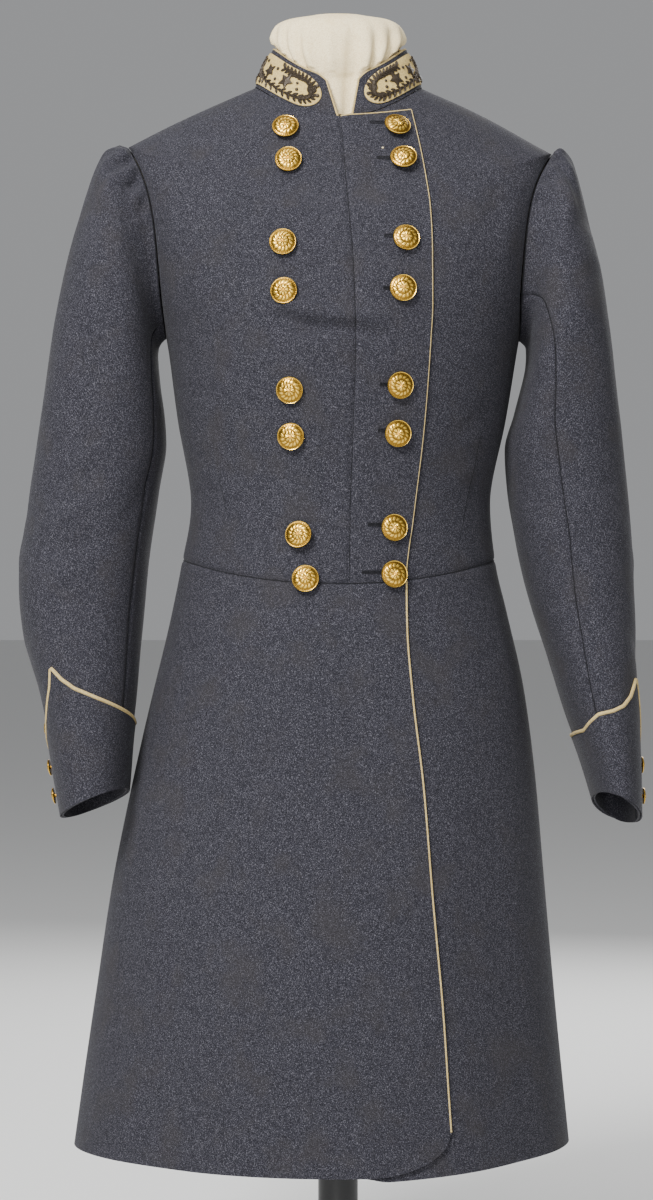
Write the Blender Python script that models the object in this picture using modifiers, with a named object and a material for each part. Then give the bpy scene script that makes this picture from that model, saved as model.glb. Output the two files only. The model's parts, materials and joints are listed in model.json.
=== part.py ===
"""Double-breasted frock coat, filled out by the limbless dress form that it stands on.

The model is in metres with +Z up. Its origin is the centre of the stand's underside, its
front faces -Y, and "right" and "left" in names are the wearer's, so left is +X.

A turn is an angle round the body: 0 at the front centre, positive towards the wearer's left
and pi at the back centre. A level is a row number in LEVELS, from the hem at 0 up to the
neck, and may fall between two rows. An arm angle runs round a sleeve: 90 degrees on its
outer or upper side, 0 at its front, -90 on the side next to the body.
"""
import math
from collections import namedtuple

import bmesh
import bpy
import numpy as np
from mathutils import Vector
from mathutils.bvhtree import BVHTree

# Cloth
MM = 0.001
WALL = 0.0020               # thickness of the body cloth
THIN_WALL = 0.0012          # thickness of the cuffs and collar patches
HALF_SEAM = 0.00025         # each panel's share of the gap at a seam
LAY_GAP = 0.0005            # gap under a piece that lies on another
CUFF_GAP = 0.0009           # gap between the sleeve and its cuff
LAP_LIFT = 0.0028           # how far the right fronts stand off the left ones
LAP_FULL = -35.0            # turn in degrees where the lap is at its full lift
LAP_NONE = -62.0            # and where it has died away
SLEEVE_GAP = 0.0010         # gap from the armhole edge to the sleeve

# The body's horizontal sections, in millimetres. side, front and back are heights at the
# sides, front centre and back centre. half is the half width on each side, deep the depth
# before and behind the section's centre, and power its squareness. seam and edge are how
# far the lapel's centre seam and the right front's free edge lie to the wearer's left.
Level = namedtuple("Level", "name side_r side_l front back half_r half_l "
                            "deep_front deep_back centre power seam edge")
LEVELS = [
    Level("hem", 127, 130, 119, 118, 231, 202, 165, 185, 0, 2.00, 0, 96),
    Level("low skirt", 255, 255, 250, 252, 213, 190, 150, 168, 0, 2.00, 0, 87.5),
    Level("mid skirt", 360, 360, 356, 358, 197, 181, 137, 150, 0, 2.05, 0, 78),
    Level("thigh", 445, 445, 440, 444, 180, 173.5, 127, 136, 0, 2.10, 0, 71.5),
    Level("seat", 529, 529, 521, 528, 161, 162.5, 118, 121, 0, 2.12, 0, 62),
    Level("high hip", 593, 593, 579, 591, 146, 148.5, 111, 107, 0, 2.12, 0, 57.5),
    Level("waist seam", 640, 640, 619, 638, 136.5, 138, 106, 98, 0, 2.12, 9, 57),
    Level("waist", 690, 690, 682, 692, 129.5, 134, 104, 92, 1, 2.12, 10, 64),
    Level("ribs", 762, 762, 752, 768, 140.5, 147, 112, 101, 3, 2.15, 12.5, 72),
    Level("underarm", 835, 833, 822, 848, 151, 159, 121, 112, 6, 2.22, 14.5, 77.5),
    Level("chest", 876, 873, 858, 892, 163, 168, 122, 115, 8, 2.30, 14, 79.5),
    Level("mid armhole", 931, 926, 903, 945, 174, 179, 116, 116, 10, 2.35, 12, 79.5),
    Level("shoulder blade", 976, 970, 939, 978, 182, 186, 106, 112, 12, 2.35, 9, 78),
    Level("shoulder point", 1004, 998, 962, 1000, 184.5, 188, 96, 101, 14, 2.25, 7, 75),
    Level("mid shoulder", 1031, 1030, 994, 1036, 131, 131, 83, 84, 14, 2.12, 4.5, 68.5),
    Level("neck", 1056, 1055.5, 1023, 1067, 73, 74, 65, 58, 10, 2.00, 2, 60),
]
HEM, WAIST_SEAM, UNDERARM, SHOULDER, NECK = 0, 6, 9, 13, 15
TURN_STEP = 0.02            # steps of turn and level over which a slope is measured
LEVEL_STEP = 0.04
SEARCH_ROUNDS = 40          # halvings in a search for a place on a surface

# The armhole is cut into the section this many degrees of turn before and behind the side.
ARMHOLE_FRONT = 19.5
ARMHOLE_BACK = 30.0
ARMHOLE_STEPS = 6
SKIRT_FINE_LEVELS = 3       # below this level the skirts have two rows a level
SIDE_SEAM = 90.0

# Turn of the seam between side body and back, in degrees, at each level.
BackSeam = namedtuple("BackSeam", "level turn")
BACK_SEAM = [BackSeam(6, 143.0), BackSeam(7, 140.0), BackSeam(8, 133.0),
             BackSeam(9, 125.0), BackSeam(10, 119.2)]
SIDE_BODY_STEPS = 2         # the seam runs up into the armhole at this step of its edge

# Flutes and pleats of the skirts: turn and width in degrees, depth in millimetres at the
# waist seam and at the hem. A negative depth is a groove.
Flute = namedtuple("Flute", "turn width_top width_hem depth_top depth_hem")
FLUTES = [
    Flute(-157.0, 5.0, 7.5, -3.5, -17.0),
    Flute(-141.0, 7.0, 8.0, 0.5, 11.0),
    Flute(-124.0, 7.0, 9.0, -0.5, -9.0),
    Flute(-104.0, 9.0, 11.0, 0.0, 5.0),
    Flute(-52.0, 9.0, 12.0, 0.0, -3.5),
    Flute(56.0, 9.0, 11.0, 0.0, -3.0),
    Flute(103.0, 9.0, 10.0, 0.0, 4.5),
    Flute(122.0, 7.0, 9.0, -0.5, -8.0),
    Flute(140.0, 7.0, 8.5, 0.5, 11.5),
    Flute(156.5, 5.0, 7.5, -3.5, -16.0),
]

# Columns of the skirts, as shares of the way from the front edge round to the vent.
RIGHT_SKIRT_SHARES = [0, 0.008, 0.026, 0.06, 0.11, 0.18, 0.235, 0.28, 0.33, 0.39, 0.455, 0.52,
                      0.575, 0.63, 0.68, 0.725, 0.765, 0.80, 0.835, 0.87, 0.90, 0.935,
                      0.968, 1]
LEFT_SKIRT_SHARES = [0, 0.07, 0.14, 0.21, 0.28, 0.345, 0.41, 0.475, 0.53, 0.585, 0.635,
                     0.68, 0.72, 0.755, 0.79, 0.825, 0.86, 0.90, 0.935, 0.97, 1]
LEFT_SKIRT_EDGE = -24.0     # turn of the left skirt's hidden front edge
LEFT_LAPEL_EDGE = -32.0     # turn of the left lapel's hidden edge
VENT_TURN = 180.0           # the right skirt ends at the back centre
VENT_LAP = 8.0              # degrees of turn that the left skirt laps over it
VENT_LIFT_TURN = 165.0      # the left skirt starts to rise here
VENT_LIFT_FULL = 176.0      # and is fully over the right one here
CORNER_REACH = 0.070        # how far the right skirt's rounded corner runs along the hem
CORNER_RISE = 0.034         # and up the front edge
LEFT_HEM_DROP = 0.005       # the left skirt hangs lower at the front
HEM_DROP_START = 7.0        # from this turn on, clear of the right skirt's corner
HEM_DROP_REACH = 8.0        # over these degrees

# The lapel's top is cut down this many levels at its corner, from this share of its width on.
LAPEL_TOP_DROP = 0.31
LAPEL_TOP_FLAT = 0.15
LAPEL_TOP_BEND = 1.3        # how gently the drop starts

# Sleeve sections, in millimetres. out is the outer or upper side, in the side next to the
# body, front and back are depths along Y, and pitch tips a section down at its back.
Ring = namedtuple("Ring", "out_x out_z in_x in_z front back pitch power")
RIGHT_RINGS = [
    Ring(192.5, 1006, 156, 831, -56, 80, 0, 2.1),
    Ring(203, 1001, 158.5, 826, -62, 85, 0, 2.2),
    Ring(213, 984, 159, 820, -67, 89, 0, 2.25),
    Ring(222, 960, 158.5, 812, -70, 91, 0, 2.3),
    Ring(231, 930, 157.5, 803, -72, 91, 0, 2.35),
    Ring(241, 892, 156, 791, -73, 90, 0, 2.4),
    Ring(251, 842, 153, 769, -71, 88, 0, 2.4),
    Ring(260.5, 780, 151.5, 742, -68, 85, 0, 2.4),
    Ring(268, 726, 158, 700, -66, 81, 0, 2.4),
    Ring(275, 672, 165.5, 650, -66, 76, 0, 2.4),
    Ring(280.3, 622, 169.5, 608, -68, 70, 1, 2.35),
    Ring(276, 573, 173, 566, -73, 61, 3, 2.3),
    Ring(261, 523, 177, 522, -79, 49, 5, 2.25),
    Ring(250.5, 472, 181.5, 479, -84, 37, 6, 2.2),
    Ring(240.5, 416, 184.5, 440, -88, 28, 7, 2.15),
]
LEFT_RINGS = [
    Ring(196.5, 1003, 164.5, 829, -56, 80, 0, 2.1),
    Ring(204, 994, 166.5, 825, -62, 85, 0, 2.2),
    Ring(211.5, 973, 166.5, 819, -67, 89, 0, 2.25),
    Ring(219, 946, 166, 811, -70, 91, 0, 2.3),
    Ring(226, 917, 164.5, 802, -72, 91, 0, 2.35),
    Ring(233, 885, 161.5, 790, -73, 90, 0, 2.4),
    Ring(240, 835, 155.5, 768, -71, 88, 0, 2.4),
    Ring(247, 778, 147.5, 737, -68, 85, 0, 2.4),
    Ring(252.5, 727, 150, 699, -66, 81, 0, 2.4),
    Ring(257.5, 672, 158, 650, -67, 77, 0, 2.4),
    Ring(260, 617, 169, 603, -70, 73, 1, 2.35),
    Ring(261, 567, 182.5, 562, -76, 67, 4, 2.3),
    Ring(261.7, 520, 196, 517, -83, 58, 6, 2.25),
    Ring(262.5, 470, 211, 475, -90, 49, 8, 2.2),
    Ring(263.3, 414, 224, 434, -96, 40, 10, 2.15),
]
BLEND_RINGS = 3.0           # the armhole's own shape fades over this many rings
RING_STEP = 0.08            # steps of ring and arm angle over which a slope is measured
ANGLE_STEP = 2.0

# Sleeve seams: arm angle in degrees at the armhole, the elbow and the cuff.
SleeveSeam = namedtuple("SleeveSeam", "armhole elbow cuff")
HIND_SEAM = {-1: SleeveSeam(150.0, 132.0, 97.0), 1: SleeveSeam(150.0, 132.0, 98.0)}
FRONT_SEAM = {-1: SleeveSeam(-60.0, -52.0, -52.0), 1: SleeveSeam(-30.0, -9.0, -27.0)}
ELBOW_RING = 10.0
TOP_STEPS = [2, 2, 5, 4, 2, 1]      # columns in each 30 degrees from -30 to 150

# Gathers at the sleeve head: arm angle and width in degrees, height in millimetres.
Gather = namedtuple("Gather", "angle width height")
GATHERS = {
    -1: [Gather(58.0, 5.0, 3.2), Gather(48.5, 4.5, -2.6), Gather(40.0, 5.0, 2.6),
         Gather(76.0, 6.0, 1.6)],
    1: [Gather(62.0, 5.5, 3.2), Gather(51.5, 4.5, -2.8), Gather(42.0, 6.0, 2.2),
        Gather(80.0, 6.0, 1.8)],
}
GATHER_FULL, GATHER_END = 0.9, 4.2  # rings where a gather is fullest and has died away

# Upper edge of each cuff: arm angle in degrees and height in millimetres.
CuffEdge = namedtuple("CuffEdge", "angle height")
CUFF_EDGES = {
    -1: [CuffEdge(-264, 471), CuffEdge(-180, 483), CuffEdge(-90, 497), CuffEdge(-50, 508),
         CuffEdge(-14, 519), CuffEdge(11, 527), CuffEdge(24, 535), CuffEdge(33, 545),
         CuffEdge(41, 527), CuffEdge(56, 505), CuffEdge(72, 487), CuffEdge(96, 471)],
    1: [CuffEdge(-263, 473), CuffEdge(-180, 479), CuffEdge(-90, 486), CuffEdge(-49, 491),
        CuffEdge(-34, 498), CuffEdge(-17, 505), CuffEdge(8, 508), CuffEdge(26, 512),
        CuffEdge(41, 520), CuffEdge(56, 535), CuffEdge(66, 513), CuffEdge(78, 492),
        CuffEdge(97, 473)],
}
CUFF_ROWS = 3
CUFF_FITS = 4               # rounds to settle where a cuff's edge meets a column
PIPING_WIDE = 0.0034        # the cuffs' piping
PIPING_HIGH = 0.0015
PIPING_UPRIGHT = 0.5        # how much the cuffs' piping leans upwards at a slant
PIPING_END_GAP = 0.0010     # it stops this far from the hind seam on each side
UP = np.array((0.0, 0.0, 1.0))
EDGE_PIPING = 0.0026        # piping outside a cloth's edge
EDGE_PIPING_PROUD = 0.0004

# Collar
COLLAR_TOP = Level("collar top", 1090, 1090, 1060, 1102, 57.5, 60.5, 53, 46, 10, 2.0, 0, 0)
COLLAR_FOOT_GAP = 0.0009
COLLAR_ROWS = 3
COLLAR_STEPS = 28
COLLAR_END_FOOT_R, COLLAR_END_FOOT_L = -0.0012, 0.0128
COLLAR_END_TOP_R, COLLAR_END_TOP_L = -0.0105, 0.0180
COLLAR_CORNER = 0.12        # share of the height taken off at the front corners
PATCH_BACK_TURN = 104.0     # the patches reach back to this turn
PATCH_LOW, PATCH_HIGH = 0.09, 0.90
PATCH_FRONT_R, PATCH_FRONT_L = -0.0145, 0.0228
PATCH_STEPS = 14
PATCH_ROWS = 4
PATCH_ROUND = 0.22          # share of the patch's length taken up by its round end
PATCH_BLUNT = 0.22          # share of the patch's height left at its front end
PATCH_FRONT_FINE = 1.5      # power that sets the patch's columns closer at its front

# Dress form
FORM_BOTTOM = 0.500
FORM_CLEAR = 0.0075         # from the coat's outside to the form, away from the shoulders
FORM_TOUCH = 0.0027         # and along the shoulder seams, which carry the coat
FORM_TAPER = 0.0090         # extra clearance below the waist, inside the pleats
FORM_SHOULDER = 0.0050      # and on the slopes before and behind them
FORM_RIDGE = 8.0            # degrees of turn over which the touch dies away
FORM_COLUMNS = 24
FORM_RISE_START = 12.4      # the inset changes to the shoulders' between these levels
FORM_RISE_END = 13.5
FORM_TAPER_LEVELS = 2.0     # levels below the waist seam over which the taper comes in
FORM_LEVELS = [3.6, 4.5, 5.5, 6.5, 7.5, 9.0, 10.0, 11.0, 12.0, 13.0, 13.5, 14.0, 14.5, 15.0]
NeckRing = namedtuple("NeckRing", "rise half_x half_y")
COVER_RINGS = [NeckRing(0.00, 50.5, 46.0), NeckRing(0.30, 50.0, 44.0),
               NeckRing(0.60, 51.5, 43.5), NeckRing(0.72, 57.5, 49.0),
               NeckRing(0.85, 55.0, 47.5), NeckRing(0.94, 45.0, 39.0),
               NeckRing(1.00, 24.0, 20.0)]
FORM_NECK_RINGS = [NeckRing(0.00, 46.5, 42.0), NeckRing(0.55, 46.0, 40.5),
                   NeckRing(0.85, 44.0, 38.0), NeckRing(1.00, 22.0, 18.0)]
FORM_NECK_TOP = 1.1168
BRIM_SHARE = 0.60           # the rise at which the cover clears the collar's top
COLLAR_BRIM_RISE = 0.0065
NECK_CENTRE = 0.005
COVER_TOP = 1.1190
COVER_COLUMNS = 24
COVER_WALL = 0.0014
COVER_FOLD = 0.0011         # depth of the gathers down the cover
COVER_FOLDS = 11
COVER_FOLD_DRIFT = 1.3      # how far the gathers are spaced unevenly, in radians
COVER_FOLD_FADE = 0.4       # share of the height over which they die away at the top
COVER_FOLD_BACK = 0.4       # their share of full depth at the back
COVER_FOOT_RISE = 0.0045
FORM_FOOT_RISE = 0.0010
POLE_RADIUS = 0.0175
BASE_RADIUS = 0.175
BASE_THICK = 0.015
BOSS_RADIUS = 0.030
BOSS_TOP = 0.026
BASE_EDGE = 0.003
TOUCH_GAP = 0.0003
ROUND_STEPS = 32
POLE_STEPS = 16
SMOOTH_ANGLE = 40.0         # edges sharper than this many degrees stay sharp
MERGE_NEAR = 0.00005        # a turned piece's points this near the axis become one

# Buttons: radius, height above the cloth and profile shares
FRONT_BUTTON_RADIUS = 0.0117
CUFF_BUTTON_RADIUS = 0.0073
HIP_BUTTON_RADIUS = 0.0105
SHANK_SHARE = 0.24
PLATE_SHARE = 0.27          # height of the back plate, as a share of the radius
RIM_SHARE = 0.38            # height of the rim
DOME_SHARE = 0.64           # height of the crown
SHOULDER_OUT = 0.62         # the dome's shoulder, as a share of the radius
SHOULDER_HIGH = 0.87        # and as a share of the crown's height
PLATE_OUT = 0.96            # radius of the back plate, as a share of the rim's
FRONT_BUTTON_STEPS = 12
SMALL_BUTTON_STEPS = 8

# Front buttons: height, distance to the wearer's left of the centre plane, and tilt of the
# top edge towards the cloth (nod) and of the left edge (swing), in degrees.
FrontButton = namedtuple("FrontButton", "name x z nod swing")
FRONT_BUTTONS = [
    FrontButton("right_1", -45, 1011, 2, 4), FrontButton("right_2", -42.5, 982, -3, 2),
    FrontButton("right_3", -47, 909, 0, 3), FrontButton("right_4", -45.5, 867.5, 4, -2),
    FrontButton("right_5", -40.5, 784.5, -2, 3), FrontButton("right_6", -39.5, 745, 2, 3),
    FrontButton("right_7", -32.5, 660, 9, -5), FrontButton("right_8", -27.5, 622.5, 6, 4),
    FrontButton("left_1", 50, 1012, 9, 5), FrontButton("left_2", 56, 983, 10, -6),
    FrontButton("left_3", 57, 912.5, 4, 4), FrontButton("left_4", 54.5, 870, 2, -3),
    FrontButton("left_5", 51, 788.5, 2, 4), FrontButton("left_6", 49.3, 747.5, 3, 0),
    FrontButton("left_7", 46, 666.5, 1, 2), FrontButton("left_8", 46, 626.5, 2, 3),
]
CUFF_BUTTON_HEIGHTS = {-1: (0.4905, 0.4590, 0.4345), 1: (0.4895, 0.4600, 0.4330)}
TILT_LIFT = 0.0006          # a tilted button stands off by this for each 10 degrees
SEAT_REACH = 0.006          # how far from the drawn surface its cloth is looked for
HIP_BUTTON_X = 0.046
HIP_BUTTON_BELOW = 0.15     # levels that the hip buttons lie below the waist seam

# Surface finishes: linear colour, roughness, metallic
Finish = namedtuple("Finish", "name color roughness metallic")
WOOL = Finish("wool", (0.085, 0.087, 0.103, 1), 0.95, 0.0)
PIPING = Finish("piping", (0.72, 0.64, 0.40, 1), 0.85, 0.0)
PATCH = Finish("patch", (0.70, 0.62, 0.42, 1), 0.85, 0.0)
BRASS = Finish("brass", (0.72, 0.48, 0.16, 1), 0.30, 1.0)
COVER = Finish("form_cover", (0.80, 0.77, 0.71, 1), 0.90, 0.0)
FORM = Finish("form_cloth", (0.62, 0.56, 0.46, 1), 0.90, 0.0)
STAND = Finish("stand", (0.05, 0.05, 0.05, 1), 0.40, 1.0)


def clear_scene():
    """Remove every object that the scene starts with."""
    for item in list(bpy.data.objects):
        bpy.data.objects.remove(item, do_unlink=True)


def ease(share):
    """Smooth step from 0 to 1."""
    share = min(max(share, 0.0), 1.0)
    return share * share * (3.0 - 2.0 * share)


def unit(vector):
    """Vector of length 1."""
    return vector / np.linalg.norm(vector)


class Track:
    """Smooth curve through evenly numbered values that never overshoots them."""

    def __init__(self, values, corners=()):
        self.values = [float(value) for value in values]
        steps = [b - a for a, b in zip(self.values, self.values[1:])]
        self.after = []
        self.before = []
        for number in range(len(self.values)):
            left = steps[max(number - 1, 0)]
            right = steps[min(number, len(steps) - 1)]
            mean = 2.0 * left * right / (left + right) if left * right > 0 else 0.0
            at_end = number in (0, len(steps))
            self.before.append(left if at_end or number in corners else mean)
            self.after.append(right if at_end or number in corners else mean)

    def at(self, place):
        """Value at a place between the first number and the last."""
        start = min(max(int(math.floor(place)), 0), len(self.values) - 2)
        share = place - start
        first, second = self.values[start], self.values[start + 1]
        bend = share * share * (3.0 - 2.0 * share)
        leave = share * (1.0 - share) ** 2 * self.after[start]
        arrive = share * share * (share - 1.0) * self.before[start + 1]
        return first + (second - first) * bend + leave + arrive


class Body:
    """The coat's outer surface from hem to neck, as if it had no openings."""

    def __init__(self, levels):
        self.tracks = {}
        for field in Level._fields[1:]:
            scale = 1.0 if field == "power" else MM
            corners = (SHOULDER,) if field.startswith("half") else ()
            values = [getattr(level, field) * scale for level in levels]
            self.tracks[field] = Track(values, corners)

    def value(self, field, level):
        """One column of LEVELS at any level, in metres."""
        return self.tracks[field].at(level)

    def fold(self, turn, level):
        """How far the skirts' flutes move the cloth out at a place."""
        if level >= WAIST_SEAM:
            return 0.0
        drop = 1.0 - level / WAIST_SEAM
        total = 0.0
        degrees = math.degrees(turn)
        for flute in FLUTES:
            width = flute.width_top + (flute.width_hem - flute.width_top) * drop
            depth = flute.depth_top + (flute.depth_hem - flute.depth_top) * drop
            away = (degrees - flute.turn + 180.0) % 360.0 - 180.0
            total += depth * MM * math.exp(-(away / width) ** 2)
        fade = ease((WAIST_SEAM - level) / 0.5)
        return total * fade

    def point(self, turn, level):
        """Point of the surface."""
        level = min(max(level, 0.0), float(len(LEVELS) - 1))
        across, ahead = math.sin(turn), math.cos(turn)
        left = across >= 0
        half = self.value("half_l" if left else "half_r", level)
        deep = self.value("deep_front" if ahead >= 0 else "deep_back", level)
        power = self.value("power", level)
        reach = ((abs(across) / half) ** power + (abs(ahead) / deep) ** power) ** (-1.0 / power)
        share = (reach * ahead / deep) ** 2
        side = self.value("side_l" if left else "side_r", level)
        end = self.value("front" if ahead >= 0 else "back", level)
        reach += self.fold(turn, level)
        y = -reach * ahead + self.value("centre", level)
        return np.array((reach * across, y, side + (end - side) * share))

    def normal(self, turn, level):
        """Outward direction of the surface."""
        low = max(level - LEVEL_STEP, 0.0)
        high = min(level + LEVEL_STEP, float(len(LEVELS) - 1))
        along = self.point(turn + TURN_STEP, level) - self.point(turn - TURN_STEP, level)
        upward = self.point(turn, high) - self.point(turn, low)
        return unit(np.cross(along, upward))

    def turn_at(self, x, level):
        """Turn of the place on the front that lies x to the wearer's left."""
        half = self.value("half_l" if x >= 0 else "half_r", level)
        deep = self.value("deep_front", level)
        power = self.value("power", level)
        ahead = deep * (1.0 - (abs(x) / half) ** power) ** (1.0 / power)
        return math.atan2(x, ahead)

    def level_at(self, turn_of, height, low, high):
        """Level between low and high where the surface reaches a height."""
        for _ in range(SEARCH_ROUNDS):
            middle = (low + high) / 2.0
            if self.point(turn_of(middle), middle)[2] < height:
                low = middle
            else:
                high = middle
        return (low + high) / 2.0


BODY = Body(LEVELS)


def no_lift(turn, level):
    """Cloth that lies on no other."""
    return 0.0


def right_lift(turn, level):
    """The right fronts stand off the left ones and come down to the body at the side."""
    share = (math.degrees(turn) - LAP_NONE) / (LAP_FULL - LAP_NONE)
    return LAP_LIFT * ease(share)


def left_skirt_lift(turn, level):
    """The left skirt rises over the right one at the back vent."""
    share = (math.degrees(turn) - VENT_LIFT_TURN) / (VENT_LIFT_FULL - VENT_LIFT_TURN)
    return LAP_LIFT * ease(share)


class Sheet:
    """A grid of points on a surface with the outward direction at each."""

    def __init__(self, points, normals):
        self.points = np.array(points)
        self.normals = np.array(normals)

    def trim(self, first_row=True, last_row=True, first_column=True, last_column=True):
        """Draw chosen borders in by half a seam gap."""
        if first_row:
            self._draw_in(0, 1, rows=True)
        if last_row:
            self._draw_in(-1, -2, rows=True)
        if first_column:
            self._draw_in(0, 1, rows=False)
        if last_column:
            self._draw_in(-1, -2, rows=False)
        return self

    def _draw_in(self, border, inner, rows):
        grid = self.points if rows else self.points.swapaxes(0, 1)
        ways = grid[inner] - grid[border]
        lengths = np.linalg.norm(ways, axis=1, keepdims=True)
        grid[border] += ways / lengths * HALF_SEAM

    def wall(self, thickness, closed=False):
        """Closed wall: the sheet, a copy of it moved in, and the rims between them."""
        return wall_between(self.points, self.points - self.normals * thickness, closed)


def wall_between(outer, inner, closed=False):
    """Mesh data of the closed wall between two grids of the same shape."""
    rows, columns = outer.shape[:2]
    count = rows * columns
    verts = [tuple(p) for p in outer.reshape(-1, 3)] + [tuple(p) for p in inner.reshape(-1, 3)]
    faces = []
    last = columns if closed else columns - 1
    for row in range(rows - 1):
        for column in range(last):
            a = row * columns + column
            b = row * columns + (column + 1) % columns
            c, d = b + columns, a + columns
            faces.append((a, b, c, d))
            faces.append((a + count, d + count, c + count, b + count))
    for row, flip in ((0, False), (rows - 1, True)):
        for column in range(last):
            a = row * columns + column
            b = row * columns + (column + 1) % columns
            rim = (a, a + count, b + count, b)
            faces.append(rim[::-1] if flip else rim)
    if not closed:
        for column, flip in ((0, True), (columns - 1, False)):
            for row in range(rows - 1):
                a = row * columns + column
                b = a + columns
                rim = (a, a + count, b + count, b)
                faces.append(rim[::-1] if flip else rim)
    return verts, faces


def body_sheet(rows, columns, place, lift=no_lift, offset=0.0):
    """Sheet on the body. place(row, column) gives the turn and level of each point."""
    points, normals = [], []
    for row in rows:
        point_row, normal_row = [], []
        for column in columns:
            turn, level = place(row, column)
            normal = BODY.normal(turn, level)
            point_row.append(BODY.point(turn, level) + normal * (lift(turn, level) + offset))
            normal_row.append(normal)
        points.append(point_row)
        normals.append(normal_row)
    return Sheet(points, normals)


def shares(steps):
    """Evenly spaced numbers from 0 to 1."""
    return [number / steps for number in range(steps + 1)]


def armhole_level(step):
    """Level of one of the armhole's points, counted up from the underarm."""
    share = (1.0 - math.cos(math.pi * step / ARMHOLE_STEPS)) / 2.0
    return UNDERARM + (SHOULDER - UNDERARM) * share


def armhole_turn(level, front):
    """Turn in degrees, from the front centre, of the armhole's front or back edge."""
    share = (level - UNDERARM) / (SHOULDER - UNDERARM)
    if share <= 0.0 or share >= 1.0:
        return SIDE_SEAM
    bell = math.sqrt(math.sin(math.pi * share))
    return SIDE_SEAM - ARMHOLE_FRONT * bell if front else SIDE_SEAM + ARMHOLE_BACK * bell


def bodice_rows():
    """Levels of the bodice's rows, from the waist seam to the neck."""
    below = [WAIST_SEAM + number / 2.0 for number in range(2 * (UNDERARM - WAIST_SEAM))]
    beside = [armhole_level(step) for step in range(ARMHOLE_STEPS)]
    above = [SHOULDER + number / 2.0 for number in range(2 * (NECK - SHOULDER) + 1)]
    return below + beside + above


def back_seam_turn(level):
    """Turn in degrees of the back panel's outer edge."""
    if level > armhole_level(SIDE_BODY_STEPS):
        return armhole_turn(level, front=False)
    return float(np.interp(level, [s.level for s in BACK_SEAM], [s.turn for s in BACK_SEAM]))


def front_sheet(side):
    """Forepart from the lapel seam to the side seam, armhole and shoulder."""
    def place(level, share):
        seam = math.degrees(BODY.turn_at(BODY.value("seam", level), level))
        outer = side * armhole_turn(level, front=True)
        return math.radians(seam + (outer - seam) * share), level
    columns = shares(8)
    lift = right_lift if side < 0 else no_lift
    sheet = body_sheet(bodice_rows(), columns if side > 0 else columns[::-1], place, lift)
    return sheet.trim(first_row=True, last_row=False)


def right_lapel_sheet():
    """Right lapel, from its centre seam to its free edge over the left front."""
    def place(level, share):
        if level > SHOULDER:
            past = max(share - LAPEL_TOP_FLAT, 0.0) / (1.0 - LAPEL_TOP_FLAT)
            top = NECK - LAPEL_TOP_DROP * past ** LAPEL_TOP_BEND
            level = SHOULDER + (level - SHOULDER) * (top - SHOULDER) / (NECK - SHOULDER)
        seam = BODY.value("seam", level)
        edge = BODY.value("edge", level)
        return BODY.turn_at(seam + (edge - seam) * share, level), level
    sheet = body_sheet(bodice_rows(), shares(6), place, right_lift)
    return sheet.trim(last_row=False, last_column=False)


def left_lapel_sheet():
    """Left lapel, hidden under the right front."""
    def place(level, share):
        seam = BODY.turn_at(BODY.value("seam", level), level)
        edge = math.radians(LEFT_LAPEL_EDGE)
        return edge + (seam - edge) * share, level
    sheet = body_sheet(bodice_rows(), shares(4), place)
    return sheet.trim(last_row=False, first_column=False)


def side_body_sheet(side):
    """Panel between the side seam and the curved back seam."""
    def place(level, share):
        front = armhole_turn(level, front=False)
        back = back_seam_turn(level)
        return math.radians(side * (front + (back - front) * share)), level
    beside = [armhole_level(step) for step in range(SIDE_BODY_STEPS + 1)]
    rows = [level for level in bodice_rows() if level < UNDERARM] + beside
    columns = shares(3)
    return body_sheet(rows, columns if side > 0 else columns[::-1], place).trim()


def back_sheet(side):
    """Back panel, from the centre seam to the back seam, armhole and shoulder."""
    def place(level, share):
        edge = back_seam_turn(level)
        return math.radians(side * (edge + (VENT_TURN - edge) * share)), level
    columns = shares(6)
    sheet = body_sheet(bodice_rows(), columns if side > 0 else columns[::-1], place)
    return sheet.trim(last_row=False)


def skirt_rows():
    """Levels of the skirts' rows, from the hem to the waist seam."""
    low = [number / 2.0 for number in range(2 * SKIRT_FINE_LEVELS)]
    return low + [float(level) for level in range(SKIRT_FINE_LEVELS, WAIST_SEAM + 1)]


def right_skirt_level(turn, level):
    """Level after the hem is rounded up to the front edge."""
    x = BODY.point(turn, HEM)[0]
    edge = BODY.value("edge", HEM)
    into = min(max((x - edge + CORNER_REACH) / CORNER_REACH, 0.0), 1.0)
    if turn < 0:
        into = 0.0
    first = BODY.value("front", 1) - BODY.value("front", 0)
    cut = CORNER_RISE / first * (1.0 - math.sqrt(1.0 - into * into))
    return cut + level * (WAIST_SEAM - cut) / WAIST_SEAM


def right_skirt_sheet():
    """Right skirt, from its piped front edge round the right side to the vent."""
    def turn_on(level, share):
        edge = BODY.turn_at(BODY.value("edge", level), level)
        return edge + (-math.radians(VENT_TURN) - edge) * share

    def place(level, share):
        rounded = right_skirt_level(turn_on(level, share), level)
        return turn_on(rounded, share), rounded
    sheet = body_sheet(skirt_rows(), RIGHT_SKIRT_SHARES[::-1], place, right_lift)
    return sheet.trim(first_row=False, last_column=False)


def left_skirt_sheet():
    """Left skirt, from its hidden front edge round the left side over the vent."""
    def turn_on(share):
        return LEFT_SKIRT_EDGE + (VENT_TURN + VENT_LAP - LEFT_SKIRT_EDGE) * share

    def place(level, share):
        return math.radians(turn_on(share)), level
    sheet = body_sheet(skirt_rows(), LEFT_SKIRT_SHARES, place, left_skirt_lift)
    for row, level in enumerate(skirt_rows()):
        drop = LEFT_HEM_DROP * ease(1.0 - level)
        for column, share in enumerate(LEFT_SKIRT_SHARES):
            shown = ease((turn_on(share) - HEM_DROP_START) / HEM_DROP_REACH)
            sheet.points[row, column, 2] -= drop * shown * ease(1.0 - share / 0.5)
    return sheet.trim(first_row=False, first_column=False, last_column=False)


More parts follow.
